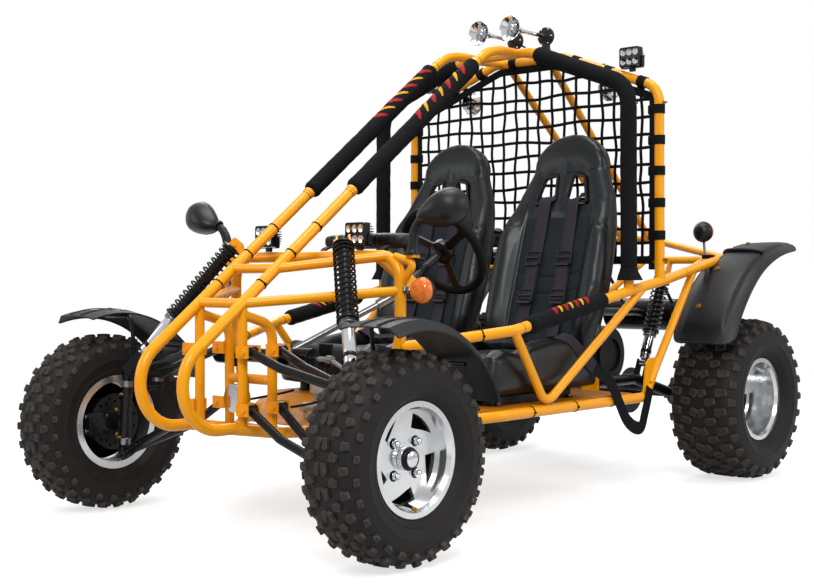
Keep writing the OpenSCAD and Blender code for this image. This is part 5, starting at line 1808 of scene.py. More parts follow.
@dataclass(frozen=True)
class Shock:
    """A coil-over shock absorber.

    Attributes:
        name: The piece's name.
        node: The CAD node that it stands for.
        top: Its upper eye.
        low: Its lower eye.
        coils: Turns of its spring.
        coil_d: Outer diameter of the spring.
        wire: Diameter of the spring's wire.
    """

    name: str
    node: str
    top: tuple[float, float, float]
    low: tuple[float, float, float]
    coils: float
    coil_d: float = 0.061
    wire: float = 0.0064

    def spring(self, low: float, high: float) -> Shell:
        """The spring, with its end turns closed up.

        Args:
            low: Where it starts along the shock.
            high: Where it ends.

        Returns:
            The spring round the Z axis.
        """
        turn = np.linspace(0, self.coils + 1.5, int(self.coils * 28))
        share = np.interp(turn, [0, 0.75, self.coils + 0.75, self.coils + 1.5], [0.0, 0.034, 0.966, 1.0])
        r = (self.coil_d - self.wire) / 2
        out = np.stack([np.cos(turn * TAU), np.sin(turn * TAU), np.zeros(len(turn))], 1)
        path = out * r + np.column_stack([np.zeros((len(turn), 2)), low + share * (high - low)])
        return sweep(path, circle(self.wire / 2, 9), out)

    def shells(self) -> list[Shell]:
        """The whole shock on its side of the kart.

        Returns:
            The shells: 0 black metal, 1 chrome, 2 steel, 3 rubber.
        """
        top, low = np.array(self.top), np.array(self.low)
        long = float(np.linalg.norm(low - top))
        spring = long * 0.6
        r = self.coil_d / 2
        parts = [self.spring(0.0235, 0.0165 + spring)]
        parts.append(lathe([(0.004, 0.008), (0.014, 0.008), (0.021, 0.012), (r, 0.0135), (r + 0.0005, 0.016),
                            (r, 0.019), (0.020, 0.0205), (0.019, 0.030), (0.004, 0.030)], steps=40))
        parts.append(lathe([(0.0168, 0.022), (0.0168, spring + 0.016), (0.004, spring + 0.016), (0.004, 0.022)],
                           steps=36, closed=True))
        for k in range(4):
            z = spring + 0.020 + k * 0.004
            parts.append(lathe([(0.0225, z), (0.0240 - (k % 2) * 0.001, z + 0.001), (0.0240, z + 0.003),
                                (0.0225, z + 0.004), (0.004, z + 0.004), (0.004, z)],
                               steps=36, closed=True, finish=2))
        parts.append(lathe([(0.004, spring + 0.012), (r - 0.002, spring + 0.012), (r, spring + 0.014),
                            (r, spring + 0.0185), (r - 0.006, spring + 0.021), (0.004, spring + 0.021)], steps=44))
        parts.append(lathe([(0.004, spring + 0.030), (0.0172, spring + 0.030), (0.0180, spring + 0.034),
                            (0.0180, long - 0.024), (0.0165, long - 0.018), (0.012, long - 0.0135),
                            (0.004, long - 0.0125)], steps=36, finish=1))
        parts.append(lathe([(0.0183, long - 0.050), (0.0192, long - 0.048), (0.0192, long - 0.038),
                            (0.0183, long - 0.036), (0.004, long - 0.036), (0.004, long - 0.050)], steps=36,
                           closed=True))
        for z, finish in ((0.0, 0), (long, 1)):
            eye = place((0, 0, z), (1, 0, 0))
            parts.append(lathe([(0.0082, -0.012), (0.0116, -0.0126), (0.0130, -0.011), (0.0130, 0.011),
                                (0.0116, 0.0126), (0.0082, 0.012)], eye, 32, closed=True, finish=finish))
            parts.append(lathe([(0.0064, -0.0130), (0.0080, -0.0130), (0.0080, 0.0130), (0.0064, 0.0130)], eye, 28,
                               closed=True, finish=3))
        return [p.at(place(top, low - top)) for p in parts]

    def build(self) -> None:
        """Makes the shocks of both sides."""
        build(self.name, [s.both() for s in self.shells()], [BLACK_METAL, CHROME, STEEL, RUBBER], "root",
              [self.node])


# Lamps, horns and mirrors


@dataclass(frozen=True)
class Lamps:
    """Work lamps with six cells, round lamps, turn lamps and air horns.

    Attributes:
        size: Width of a work lamp.
        pods: Feet of the work lamps on the left.
    """

    size: float = 0.076
    pods: tuple[tuple[float, float, float], ...] = ((0.192, -0.6165, 0.7813), (0.430, 0.430, 1.3813))

    def pod(self) -> list[Shell]:
        """A work lamp with its foot at the origin, facing -Y.

        Returns:
            The shells: 0 black metal, 1 chrome, 2 glass, 3 steel, 4 dark.
        """
        w, tall = self.size, self.size * 0.86
        mid = 0.014 + tall / 2
        front = place((0, -0.004, mid), (0, -1, 0), (1, 0, 0))
        parts = [slab(oblong(w - 0.001, tall - 0.001, 0.006), -0.006, 0.0178, 0.0016).at(front)]
        grid = [(-0.0235, 0.0150), (0, 0.0150), (0.0235, 0.0150), (-0.0235, -0.0150), (0, -0.0150),
                (0.0235, -0.0150)]
        cells = np.array([np.asarray(front) @ place((x, y, 0.0)) for x, y in grid])
        parts.append(lathe([(0.0098, 0.0176), (0.0108, 0.0184), (0.0108, 0.0196), (0.0096, 0.0194), (0.0050, 0.0182),
                            (0.0010, 0.0179)], steps=28, finish=1).at(cells))
        parts.append(lathe([(0.0030, 0.0185), (0.0030, 0.0193), (0.0018, 0.0200), (0.0003, 0.0202)], steps=16,
                           finish=2).at(cells))
        bezel = np.array([[0, 0, 0]]) + np.column_stack([oblong(w - 0.005, tall - 0.005, 0.006, 3),
                                                         np.full(16, 0.0185)])
        parts.append(sweep(bezel, oblong(0.0042, 0.0034, 0.001, 2), (0, 0, 1), closed=True).at(front))
        fins = []
        for k in range(9):
            z = mid - tall * 0.43 + k * tall * 0.86 / 8
            reach = 0.028 * math.sqrt(max(0.08, 1 - ((z - mid) / (tall * 0.52)) ** 2))
            outline = np.array([[-w * 0.44, 0.0], [w * 0.44, 0.0], [w * 0.34, reach], [-w * 0.34, reach]])
            fins.append(slab(outline, z - 0.0014, z + 0.0014, 0.0004).at(place((0, 0.001, 0))))
        parts += fins
        parts.append(slab(oblong(0.020, 0.012, 0.002), 0.0003, 0.014, 0.001).at(place((0, -0.001, 0))))
        arm = rounded([(-w / 2 - 0.0024, -0.002, mid), (-w / 2 - 0.0024, -0.002, 0.0118), (0, -0.002, 0.0118),
                       (w / 2 + 0.0024, -0.002, 0.0118), (w / 2 + 0.0024, -0.002, mid)], 0.006, 4)
        parts.append(sweep(arm, oblong(0.0024, 0.016, 0.0008, 1), (0, 1, 0)))
        sides = [place((way * (w / 2 + 0.0034), -0.002, mid), (way, 0, 0)) for way in (1, -1)]
        parts.append(slab(circle(0.0048, 6), 0.0, 0.0044, 0.0006, finish=3).at(sides))
        corners = [np.asarray(front) @ place((x, y, 0.0176)) for x in (-0.0345, 0.0345) for y in (-0.0295, 0.0295)]
        parts.append(slab(circle(0.0019, 6), 0.0, 0.0022, 0.0004, finish=3).at(corners))
        return parts

    def turn_lamp(self, at: Array) -> list[Shell]:
        """A turn lamp with a ribbed orange lens.

        Args:
            at: Its place, Z out of the lens.

        Returns:
            The shells: 0 orange lens, 1 black plastic, 2 chrome.
        """
        parts = [lathe([(0.0355, 0.000), (0.0362, 0.003), (0.0350, 0.010), (0.0315, 0.0185), (0.0312, 0.0190),
                        (0.0270, 0.0250), (0.0266, 0.0252), (0.0205, 0.0302), (0.0200, 0.0303), (0.0120, 0.0344),
                        (0.0116, 0.0343), (0.0004, 0.0362)], at, 56)]
        parts.append(lathe([(0.0004, -0.0292), (0.0120, -0.0290), (0.0180, -0.0270), (0.0290, -0.0180),
                            (0.0352, -0.0070), (0.0368, -0.0035), (0.0368, 0.0020), (0.0350, 0.0026),
                            (0.0350, -0.0005), (0.0004, -0.0005)], at, 56, finish=1))
        screws = [np.asarray(at) @ place((0.0352 * math.cos(a), 0.0352 * math.sin(a), 0.0018)) for a in (0.6, 3.74)]
        parts.append(slab(circle(0.0022, 8), 0.0, 0.0016, 0.0004, finish=2).at(screws))
        return parts

    def build(self) -> None:
        """Makes every lamp and both horns."""
        pods = [s.at([place(p) for p in self.pods]).both() for s in self.pod()]
        build("work_lamps", pods, [BLACK_METAL, CHROME, LAMP_GLASS, STEEL, DARK_TRIM_AND_SHADE], "root",
              ["lamp_pods"])
        self.build_round()
        front = self.turn_lamp(place((0.420, -0.6065, 0.670), (0, -1, 0)))
        rear = self.turn_lamp(place((0.460, 0.8425, 0.862), (0, 1, 0)))
        stalk = sweep(np.array([[0.3613, -0.6165, 0.670], [0.380, -0.6165, 0.670], [0.405, -0.6165, 0.670]]),
                      circle(0.0068, 16), (0, 1, 0), finish=2)
        nut = slab(circle(0.0115, 6), 0.0, 0.007, 0.001, finish=2).at(
            [place((0.3618, -0.6165, 0.670), (1, 0, 0)), place((0.3790, -0.6165, 0.670), (1, 0, 0))])
        post = sweep(np.array([[0.460, 0.8585, 0.777], [0.460, 0.8525, 0.806], [0.460, 0.8465, 0.838]]),
                     circle(0.004, 14), (1, 0, 0), finish=2)
        threads = lathe([(0.0042, 0.0), (0.0048, 0.001), (0.0042, 0.002)], steps=16, closed=False, finish=2)
        runs = [place((0.460, 0.8583 - k * 0.00041, 0.778 + k * 0.002), (0, -0.2, 1)) for k in range(26)]
        clamp = slab(oblong(0.042, 0.022, 0.004), 0.0, 0.0140, 0.0015, finish=1).at(place((0.472, 0.8585, 0.7672)))
        build("turn_lamp_bodies", [s.both() for s in [*front, *rear, stalk, nut, post, threads.at(runs), clamp]],
              [LENS, BLACK_PLASTIC, STEEL], "root", ["turn_lamps"])
        self.build_horns()

    def build_round(self) -> None:
        """Makes the round lamps that look back from the roof."""
        at = place((0.300, 0.450, 1.346), (0, 1, 0))
        bowl = lathe([(0.0004, -0.0005), (0.012, 0.0), (0.0200, 0.002), (0.0270, 0.010), (0.0340, 0.022),
                      (0.0395, 0.034), (0.0425, 0.0395), (0.0438, 0.0410), (0.0438, 0.0450), (0.0424, 0.0458),
                      (0.0408, 0.0448), (0.0405, 0.040), (0.0330, 0.024), (0.0200, 0.0100), (0.0004, 0.0080)], at, 56)
        glass = lathe([(0.0404, 0.0400), (0.0404, 0.0430), (0.030, 0.0446), (0.015, 0.0455), (0.0004, 0.0458),
                       (0.0004, 0.0400)], at, 48, finish=1)
        plate = slab(oblong(0.020, 0.078, 0.004), 0.0003, 0.0048, 0.0008, finish=2).at(
            place((0.300, 0.446, 1.385), (0, 1, 0)))
        bolt = slab(circle(0.0055, 6), 0.0, 0.005, 0.0008, finish=2).at(
            [place((0.300, 0.4508, 1.412), (0, 1, 0))])
        build("round_lamp_bowls", [s.both() for s in (bowl, glass, plate, bolt)], [CHROME, LAMP_GLASS, BLACK_METAL],
              "root", ["round_lamps"])

    def build_horns(self) -> None:
        """Makes the two air horns: flared trumpets on round drivers."""
        share = np.linspace(0, 1, 15)
        flare = np.stack([0.0068 + 0.0340 * share ** 2.6, 0.100 + 0.090 * share], 1)
        outer = [(0.0068, 0.004), (0.0074, 0.006), (0.0068, 0.010), (0.0066, 0.050), (0.0076, 0.052), (0.0076, 0.058),
                 (0.0066, 0.060), *flare.tolist(), (0.0418, 0.1915), (0.0408, 0.1928), (0.0392, 0.1915)]
        inner = [(r - 0.0012, z) for r, z in flare[::-1].tolist()] + [(0.0004, 0.100)]
        shells = []
        for x in (0.020, 0.150):
            at = place((x, 0.320, 1.518), (0, -1, 0))
            trumpet = lathe([(0.0004, 0.004), *outer, *inner], at, 48)
            driver = lathe([(0.0004, -0.0298), (0.020, -0.0298), (0.0225, -0.028), (0.0225, -0.020), (0.0300, -0.018),
                            (0.0308, -0.016), (0.0308, -0.006), (0.0300, -0.004), (0.0220, -0.002), (0.014, 0.0035),
                            (0.0004, 0.0040)], at, 44, finish=1)
            rivets = slab(circle(0.0018, 8), 0.0, 0.0016, 0.0004).at(np.asarray(at) @ turns(6, 0.0268, 0, -0.0042))
            foot = slab(oblong(0.023, 0.020, 0.003), 0.0, 0.042, 0.001, finish=1).at(place((x, 0.332, 1.4745)))
            shells += [trumpet, driver, rivets, foot]
        plate = slab(oblong(0.156, 0.027, 0.006), 0.0003, 0.0058, 0.0012, finish=1).at(place((0.085, 0.332, 1.470)))
        bolts = slab(circle(0.0052, 6), 0.0, 0.0045, 0.0008, finish=2).at(
            [place((x, 0.332, 1.4758)) for x in (0.045, 0.090, 0.125)])
        hose = sweep(flowing([(0.020, 0.351, 1.518), (0.022, 0.362, 1.508), (0.050, 0.366, 1.492),
                              (0.085, 0.360, 1.486), (0.120, 0.366, 1.494), (0.148, 0.362, 1.508),
                              (0.150, 0.351, 1.518)], 6), circle(0.0034, 10), (0, 1, 0.3), finish=3)
        build("air_horn_bodies", [*shells, plate, bolts, hose], [CHROME, BLACK_PLASTIC, STEEL, RUBBER], "root",
              ["air_horns"])


@dataclass(frozen=True)
class Mirrors:
    """The two mirrors on ribbed stalks."""

    def build(self) -> None:
        """Makes the egg-shaped heads, their glass and the stalks."""
        turn = math.radians(12)
        out = (math.sin(turn), -math.cos(turn), 0.0)
        at = place((0.498, -0.6235, 0.887), out, (math.cos(turn), math.sin(turn), 0.0))
        a = np.arange(64) / 64 * TAU
        egg = np.stack([0.0765 * np.cos(a), 0.0480 * np.sin(a) * (1 + 0.34 * np.cos(a))], 1)
        lean = math.radians(19)
        egg = egg @ np.array([[math.cos(lean), math.sin(lean)], [-math.sin(lean), math.cos(lean)]])
        levels = ((0.02, -0.0226), (0.85, -0.0232), (0.93, -0.0240), (0.985, -0.0215), (1.0, -0.0150), (1.0, -0.0040),
                  (0.955, 0.0080), (0.87, 0.0200), (0.745, 0.0310), (0.58, 0.0395), (0.36, 0.0450), (0.14, 0.0474),
                  (0.02, 0.0478))
        head = skin(np.stack([np.column_stack([egg * k, np.full(64, z)]) for k, z in levels])).at(at)
        glass = skin(np.stack([np.column_stack([egg * k, np.full(64, z)]) for k, z in (
            (0.02, -0.0236), (0.86, -0.0236), (0.87, -0.0230), (0.02, -0.0228))]), finish=1).at(at)
        seat = (0.388, -0.6135, 0.769)
        stem = flowing([seat, (0.388, -0.6135, 0.790), (0.391, -0.6138, 0.815), (0.400, -0.6145, 0.838),
                        (0.414, -0.6160, 0.856), (0.434, -0.6190, 0.868)], 12)
        far = lengths(stem)
        thick = 1.0 + 0.05 * np.sin(far / 0.0030 * math.pi) * ((far > 0.046) & (far < 0.098))
        thick = thick * np.interp(far, [0, 0.012, 0.044, far[-1]], [1.62, 1.50, 1.24, 0.98])
        stalk = sweep(stem, circle(0.0118, 22), (0.2, 1, 0), size=thick)
        cup = lathe([(0.0004, 0.0), (0.0200, 0.0), (0.0206, 0.002), (0.0200, 0.010), (0.0165, 0.014),
                     (0.0004, 0.014)], place((0.388, -0.6135, 0.7672)), 32)
        collar = lathe([(0.0004, -0.004), (0.0175, -0.004), (0.0190, 0.002), (0.0150, 0.012), (0.0004, 0.014)],
                       place((0.428, -0.6185, 0.8665), (0.8, -0.1, 0.5)), 28)
        seam = sweep(np.column_stack([egg * 1.001, np.full(64, -0.0118)]), circle(0.0007, 6), (0, 0, 1), closed=True,
                     finish=2).at(at)
        build("mirror_heads", [s.both() for s in (head, glass, stalk, cup, collar, seam)],
              [BLACK_PLASTIC, CHROME, DARK_TRIM_AND_SHADE], "root", ["mirrors"])


# Driver's controls


@dataclass(frozen=True)
class Controls:
    """The steering wheel and its column.

    Attributes:
        centre: The wheel's middle.
        tilt: Slope of its axis in degrees.
        d: Its diameter.
    """

    centre: tuple[float, float, float] = (0.250, -0.3245, 0.782)
    tilt: float = 32.0
    d: float = 0.300

    def build(self) -> None:
        """Makes the wheel with its grip, spokes, hub and column."""
        axis = (0.0, math.cos(math.radians(self.tilt)), math.sin(math.radians(self.tilt)))
        at = place(self.centre, axis, (1, 0, 0))
        r = self.d / 2 - 0.014
        a = np.arange(120) / 120 * TAU
        path = np.stack([r * np.cos(a), r * np.sin(a), np.zeros(120)], 1)
        finger = 1 - 0.045 * np.clip(np.sin(a * 20), 0, 1) ** 3
        grip = sweep(path, circle(0.0139, 18), (0, 0, 1), closed=True, size=finger)
        spokes = []
        for angle in (90, 210, 330):
            spin = np.array(Matrix.Rotation(math.radians(angle), 4, "Z"))
            outline = np.array([[0.020, -0.0155], [0.050, -0.0135], [0.100, -0.0125], [r - 0.002, -0.0158],
                                [r - 0.002, 0.0158], [0.100, 0.0125], [0.050, 0.0135], [0.020, 0.0155]])
            spokes.append(slab(outline, -0.0048, 0.0028, 0.0010, finish=1).at(spin))
            # A dark plate on each spoke: painted shade standing in for the spoke's hollow.
            hollow = slab(oblong(0.042, 0.012, 0.0055), 0.0026, 0.0032, 0.0002, finish=3)
            spokes.append(hollow.at(spin @ place((0.080, 0, 0))))
        hub = lathe([(0.0004, -0.0138), (0.0340, -0.0138), (0.0366, -0.0118), (0.0368, 0.0080), (0.0350, 0.0104),
                     (0.0300, 0.0112), (0.0290, 0.0098), (0.0255, 0.0098), (0.0240, 0.0112), (0.0120, 0.0118),
                     (0.0004, 0.0119)], steps=44, finish=1)
        bolts = slab(circle(0.0034, 6), 0.0096, 0.0128, 0.0006, finish=2).at(turns(6, 0.0324, 30))
        stitch = sweep(np.stack([(r - 0.0128) * np.cos(a), (r - 0.0128) * np.sin(a), np.full(120, 0.0022)], 1),
                       circle(0.0011, 6), (0, 0, 1), closed=True, finish=3)
        low = np.array(self.centre) - np.array(axis) * 0.224
        column = lathe([(0.0004, 0.0), (0.0104, 0.0), (0.0109, 0.0006), (0.0109, 0.206), (0.0104, 0.2066),
                        (0.0004, 0.2068)], place(low, axis), 32, finish=1)
        build("steering_wheel_rim", [*(s.at(at) for s in (grip, *spokes, hub, bolts, stitch)), column],
              [RUBBER, BLACK_METAL, STEEL, DARK_TRIM_AND_SHADE], "steering", ["steering_wheel"])


# Bodywork and fittings


@dataclass(frozen=True)
class Fenders:
    """Raised panels, edge beads and bolts on the mudguards.

    Attributes:
        y_rear: Place of the rear axle.
        z_rear: Its height.
        y_front: Place of the front axle.
        z_front: Its height.
        corner: Radius of a rear fender's corners.
        thick: Thickness of its wall.
    """

    y_rear: float = REAR_AXLE_Y
    z_rear: float = 0.2795
    y_front: float = FRONT_AXLE_Y
    z_front: float = 0.2665
    corner: float = 0.045
    thick: float = 0.004

    def rear_line(self) -> Array:
        """The rear fender's side view as a smooth line, front first.

        Returns:
            Pairs of Y and Z.
        """
        side = np.array([[-0.275, 0.200], [-0.232, 0.290], [-0.165, 0.375], [-0.083, 0.447], [0.005, 0.495],
                         [0.110, 0.528], [0.235, 0.546]])
        return side + [self.y_rear, self.z_rear]

    def build(self) -> None:
        """Makes the panels and beads of the rear fenders and the beads and bolts of the front ones."""
        line = flowing(np.column_stack([np.zeros(7), self.rear_line()]), 8)[:, 1:]
        far = lengths(line)
        s = np.linspace(0.003, far[-1] - 0.004, 110)
        yz = np.stack([np.interp(s, far, line[:, k]) for k in range(2)], 1)
        normal = unit(np.stack([-np.gradient(yz[:, 1]), np.gradient(yz[:, 0])], 1))
        end = np.minimum(s - s[0], s[-1] - s)
        round_off = self.corner - np.sqrt(np.maximum(self.corner ** 2 - np.maximum(self.corner - end, 0) ** 2, 0))
        notch = 0.060 * step_up(yz[:, 0], 0.845, 0.885) * (1 - step_up(yz[:, 0], 0.995, 1.045))
        inner, outer = 0.4465 + notch + round_off, 0.6795 - round_off
        u = np.linspace(-1, 1, 45)[None, :]
        x = (inner + outer)[:, None] / 2 + u * (outer - inner)[:, None] / 2
        wide = np.clip((x - 0.563) / 0.1165, -1, 1)
        raised = step_up(0.72 - np.abs(wide), 0.0, 0.10) * step_up(end, 0.025, 0.075)[:, None]
        high = 0.003 - 0.024 * np.abs(wide) ** 3.4 + 0.0075 * raised
        top = np.dstack([x, yz[:, None, :] + normal[:, None, :] * high[..., None]])
        under = top - np.column_stack([np.zeros(len(s)), normal * self.thick])[:, None, :]
        shell = skin(np.concatenate([top, under[:, ::-1]], 1))
        middle = (top + under) / 2
        border = np.concatenate([middle[:, 0], middle[-1, 1:], middle[-2::-1, -1], middle[0, -2:0:-1]])
        step = np.linalg.norm(np.diff(border, axis=0, append=border[:1]), axis=1)
        bead = sweep(border[step > 0.0006], circle(0.0034, 8), (1, 0.3, 0.2), closed=True)
        stay = flowing([(0.492, 0.938, 0.786), (0.505, 0.936, 0.797), (0.560, 0.932, 0.799),
                        (0.622, 0.930, 0.795), (0.645, 0.930, 0.789)], 6)
        bar = sweep(stay, circle(0.0075, 12), (0, 0, 1))
        bolt = slab(circle(0.0075, 6), 0.0, 0.0052, 0.0010, finish=1)
        washer = lathe([(0.0004, -0.002), (0.0105, -0.002), (0.0105, 0.0008), (0.0004, 0.0008)], steps=28, finish=1)
        heads = [place(top[k, 16] + np.array([0, *normal[k]]) * 0.001, (0, *normal[k])) for k in (22, 52, 92)]
        build("rear_fender_shells", [part.both() for part in (shell, bead, bar, bolt.at(heads), washer.at(heads))],
              [FENDER, GOLD_ZINC], "root", ("rear_fenders",))
        self.build_front()

    def front_arc(self, a: Array, radius: float, x: float) -> Array:
        """An arc round a front axle.

        Args:
            a: Angles behind the top, in radians.
            radius: Its radius.
            x: Its place across the kart.

        Returns:
            Its points.
        """
        return np.stack([np.full(len(a), x), self.y_front + radius * np.sin(a), self.z_front + radius * np.cos(a)], 1)

    def build_front(self) -> None:
        """Makes the beads and the bolts of the front fenders, which steer with the wheels."""
        a = np.radians(np.linspace(-17.0, 67.0, 60))
        lip = sweep(self.front_arc(a, 0.3130, 0.7048), circle(0.0030, 10), (1, 0, 0))
        inner = sweep(self.front_arc(a, 0.3305, 0.5155), circle(0.0028, 10), (1, 0, 0))
        rib = np.array([[-0.0045, 0.0], [0.0045, 0.0], [0.0028, 0.0026], [-0.0028, 0.0026]])
        outward = np.stack([np.zeros(len(a)), np.sin(a), np.cos(a)], 1)
        ridge = [sweep(self.front_arc(a, 0.3412, x), rib, outward) for x in (0.585, 0.640)]
        bolt = slab(circle(0.0070, 6), 0.0, 0.0050, 0.0010, finish=1)
        heads = []
        for deg in (4.0, 48.0):
            t = math.radians(deg)
            for x, r in ((0.548, 0.3370), (0.612, 0.3412)):
                at = (x, self.y_front + r * math.sin(t), self.z_front + r * math.cos(t))
                heads.append(place(at, (0, math.sin(t), math.cos(t))))
        shells = [lip, inner, *ridge, bolt.at(heads)]
        for side, turn in (("left", SAME), ("right", MIRROR)):
            build(f"front_fender_trim_{side}", [s.at(turn) for s in shells], [FENDER, GOLD_ZINC], f"steer_{side}")


def kingpin(z: float) -> Array:
    """The point of the left kingpin's axis at a height: a straight line that leans by 5 degrees.

    Args:
        z: The height.

    Returns:
        The point.
    """
    return np.array([0.500 - (z - 0.2665) * math.tan(math.radians(5)), FRONT_AXLE_Y, z])


@dataclass(frozen=True)
class Fittings:
    """Bolts, collars, lines, ties and straps on the frame."""

    def build(self) -> None:
        """Makes the fittings of the frame, of the knuckles and of the steering."""
        along_nose = unit(np.array([0.0, 1.0, NOSE_SLOPE]))
        ring = lathe(band(0.0161, 0.0178, 0.006, 0.0052), steps=36, closed=True)
        seam = lathe(band(0.0159, 0.0163, 0.0011, 0.0008), steps=36, closed=True, finish=2)
        bolt = slab(circle(0.0072, 6), 0.0, 0.0060, 0.0010, finish=1)
        stud = lathe([(0.0004, 0.0), (0.0038, 0.0), (0.0038, 0.0095), (0.0028, 0.0105), (0.0004, 0.0106)], steps=16,
                     finish=1)
        seams = [place(nose(-0.560), along_nose), place(nose(0.035), along_nose)]
        rail = np.array([[0.345, -0.6165, 0.512], [0.504, -0.3065, 0.553], [0.530, 0.250, 0.660],
                         [0.534, 0.460, 0.694], [0.484, 0.9445, 0.771]])
        for a, b, t in ((0, 1, 0.42), (1, 2, 0.05), (3, 4, 0.30)):
            seams.append(place(rail[a] + t * (rail[b] - rail[a]), rail[b] - rail[a]))
        bolts = []
        for x, y, z, d in ((0.5495, 0.250, 0.735, (1, 0, 0)), (0.5490, 0.430, 0.760, (1, 0, 0)),
                           (0.5465, 0.250, 1.250, (1, 0, 0)), (0.5440, 0.430, 1.270, (1, 0, 0))):
            bolts.append(place((x - 0.0012, y, z), d))
        studs = [np.asarray(b) @ place((0, 0, 0.0058)) for b in bolts]
        ties = lathe(band(0.0163, 0.0175, 0.0022, 0.0020), steps=32, closed=True, finish=3)
        tie_head = slab(oblong(0.0062, 0.0050, 0.001), 0.0160, 0.0215, 0.0006, finish=3)
        tie_spots = [place(nose(y), along_nose) for y in (-0.900, -0.790, -0.690)]
        tie_spots += [place(rail[0] + t * (rail[1] - rail[0]), rail[1] - rail[0]) for t in (0.2, 0.7)]
        tie_spots += [place((0.480, y, 0.310), (0, 1, 0)) for y in (-0.20, 0.02, 0.22)]
        brake = rounded([(0.060, -0.640, 0.372), (0.110, -0.640, 0.360), (0.118, -0.760, 0.350),
                         (0.118, -0.880, 0.345)], 0.02, 6)
        hose = sweep(brake, circle(0.0036, 10), (0.05, 0.1, 1), finish=3)
        strap = self.anchor_strap()
        shells = [seam.at(seams), bolt.at(bolts), stud.at(studs), ties.at(tie_spots), tie_head.at(
            [np.asarray(t) @ np.array(Matrix.Rotation(math.pi / 2, 4, "Y")) for t in tie_spots]), hose, *strap]
        shells.append(ring.at([place(nose(-0.548), along_nose)]))
        build("frame_fittings", [s.both() for s in shells], [PAINT, GOLD_ZINC, DARK_TRIM_AND_SHADE, RUBBER, NET_WEB], "root")
        rail_line = rounded([(0.090, -0.7762, 0.7825), (0.090, 0.0984, 1.456), (0.090, 0.238, 1.456)], 0.075, 10)
        build("roof_rail_tubes", [sweep(rail_line, circle(TUBE_R, 28), (1, 0, 0)).both()], [PAINT], "root",
              ("roof_rails",))
        self.build_cowl()
        self.build_moving()

    def build_cowl(self) -> None:
        """Makes the ribbed hood over the gauges: a superellipse along X, with a shallow rib every 20 mm.

        It stands on the dash tube with two feet.
        """
        share = np.linspace(-1, 1, 97)
        wide = (1 - np.abs(share) ** 5) ** 0.2
        rib = 1 - 0.022 * (np.abs(share * 0.16 % 0.02 - 0.01) < 0.0035)
        a = np.arange(48) / 48 * TAU
        across = np.sign(np.cos(a)) * np.abs(np.cos(a)) ** 0.55
        up = np.sign(np.sin(a)) * np.abs(np.sin(a)) ** 0.62
        size = np.maximum(wide * rib, 0.02)[:, None]
        hood = skin(np.dstack([np.broadcast_to(0.140 + 0.1595 * share[:, None], (97, 48)),
                               -0.5175 + 0.0545 * across * size, 0.810 + 0.0225 * up * size]))
        foot = sweep(np.array([(0.0, -0.6020, 0.774), (0.0, -0.588, 0.788), (0.0, -0.560, 0.797)]),
                     oblong(0.022, 0.007, 0.002), (0, 0, 1))
        build("gauge_hood", [hood, foot.at([place((x, 0.0, 0.0), (0, 0, 1), (1, 0, 0)) for x in (0.020, 0.250)])],
              [BLACK_PLASTIC], "root", ("dash_cowl",))

    def anchor_strap(self) -> list[Shell]:
        """The lap belt's lower strap, from the seat's side down to its bolt on the side plate.

        Returns:
            The shells.
        """
        line = flowing([(0.462, 0.150, 0.425), (0.4985, 0.201, 0.365), (0.5020, 0.282, 0.250),
                        (0.5020, 0.362, 0.216), (0.5000, 0.396, 0.264), (0.4945, 0.436, 0.340)], 8)
        w, t = 0.021, 0.0011
        profile = np.array([[-w, -t], [w, -t], [w, t], [-w, t]])
        return [sweep(line, profile, (1, 0, 0), finish=4)]

    def build_moving(self) -> None:
        """Makes the gold grease nipples and kingpin nuts, which steer with the wheels."""
        lean = math.radians(5)
        axis = np.array([-math.sin(lean), 0.0, math.cos(lean)])
        nipple = lathe([(0.0004, 0.0), (0.0052, 0.0), (0.0052, 0.004), (0.0030, 0.0055), (0.0034, 0.0085),
                        (0.0022, 0.0110), (0.0004, 0.0112)], steps=16)
        spots = [place(kingpin(z) + [0, -0.0168, 0], (0, -1, 0)) for z in (0.225, 0.355)]
        sleeve = lathe([(0.0171, -0.010), (0.0184, -0.009), (0.0184, 0.009), (0.0171, 0.010)], steps=32, closed=True,
                       finish=1)
        rings = [place(kingpin(z), axis) for z in (0.212, 0.386)]
        nut = slab(circle(0.0066, 6), 0.0, 0.0060, 0.0010, finish=1)
        caliper = [place((0.553 + dx, -1.0245, 0.2665 + dz), (0, -1, 0)) for dx, dz in ((0.0, 0.022), (0.0, -0.022))]
        shells = [nipple.at(spots), sleeve.at(rings), nut.at(caliper)]
        for side, turn in (("left", SAME), ("right", MIRROR)):
            build(f"knuckle_fittings_{side}", [s.at(turn) for s in shells], [GOLD_ZINC, STEEL], f"steer_{side}")


# Stage


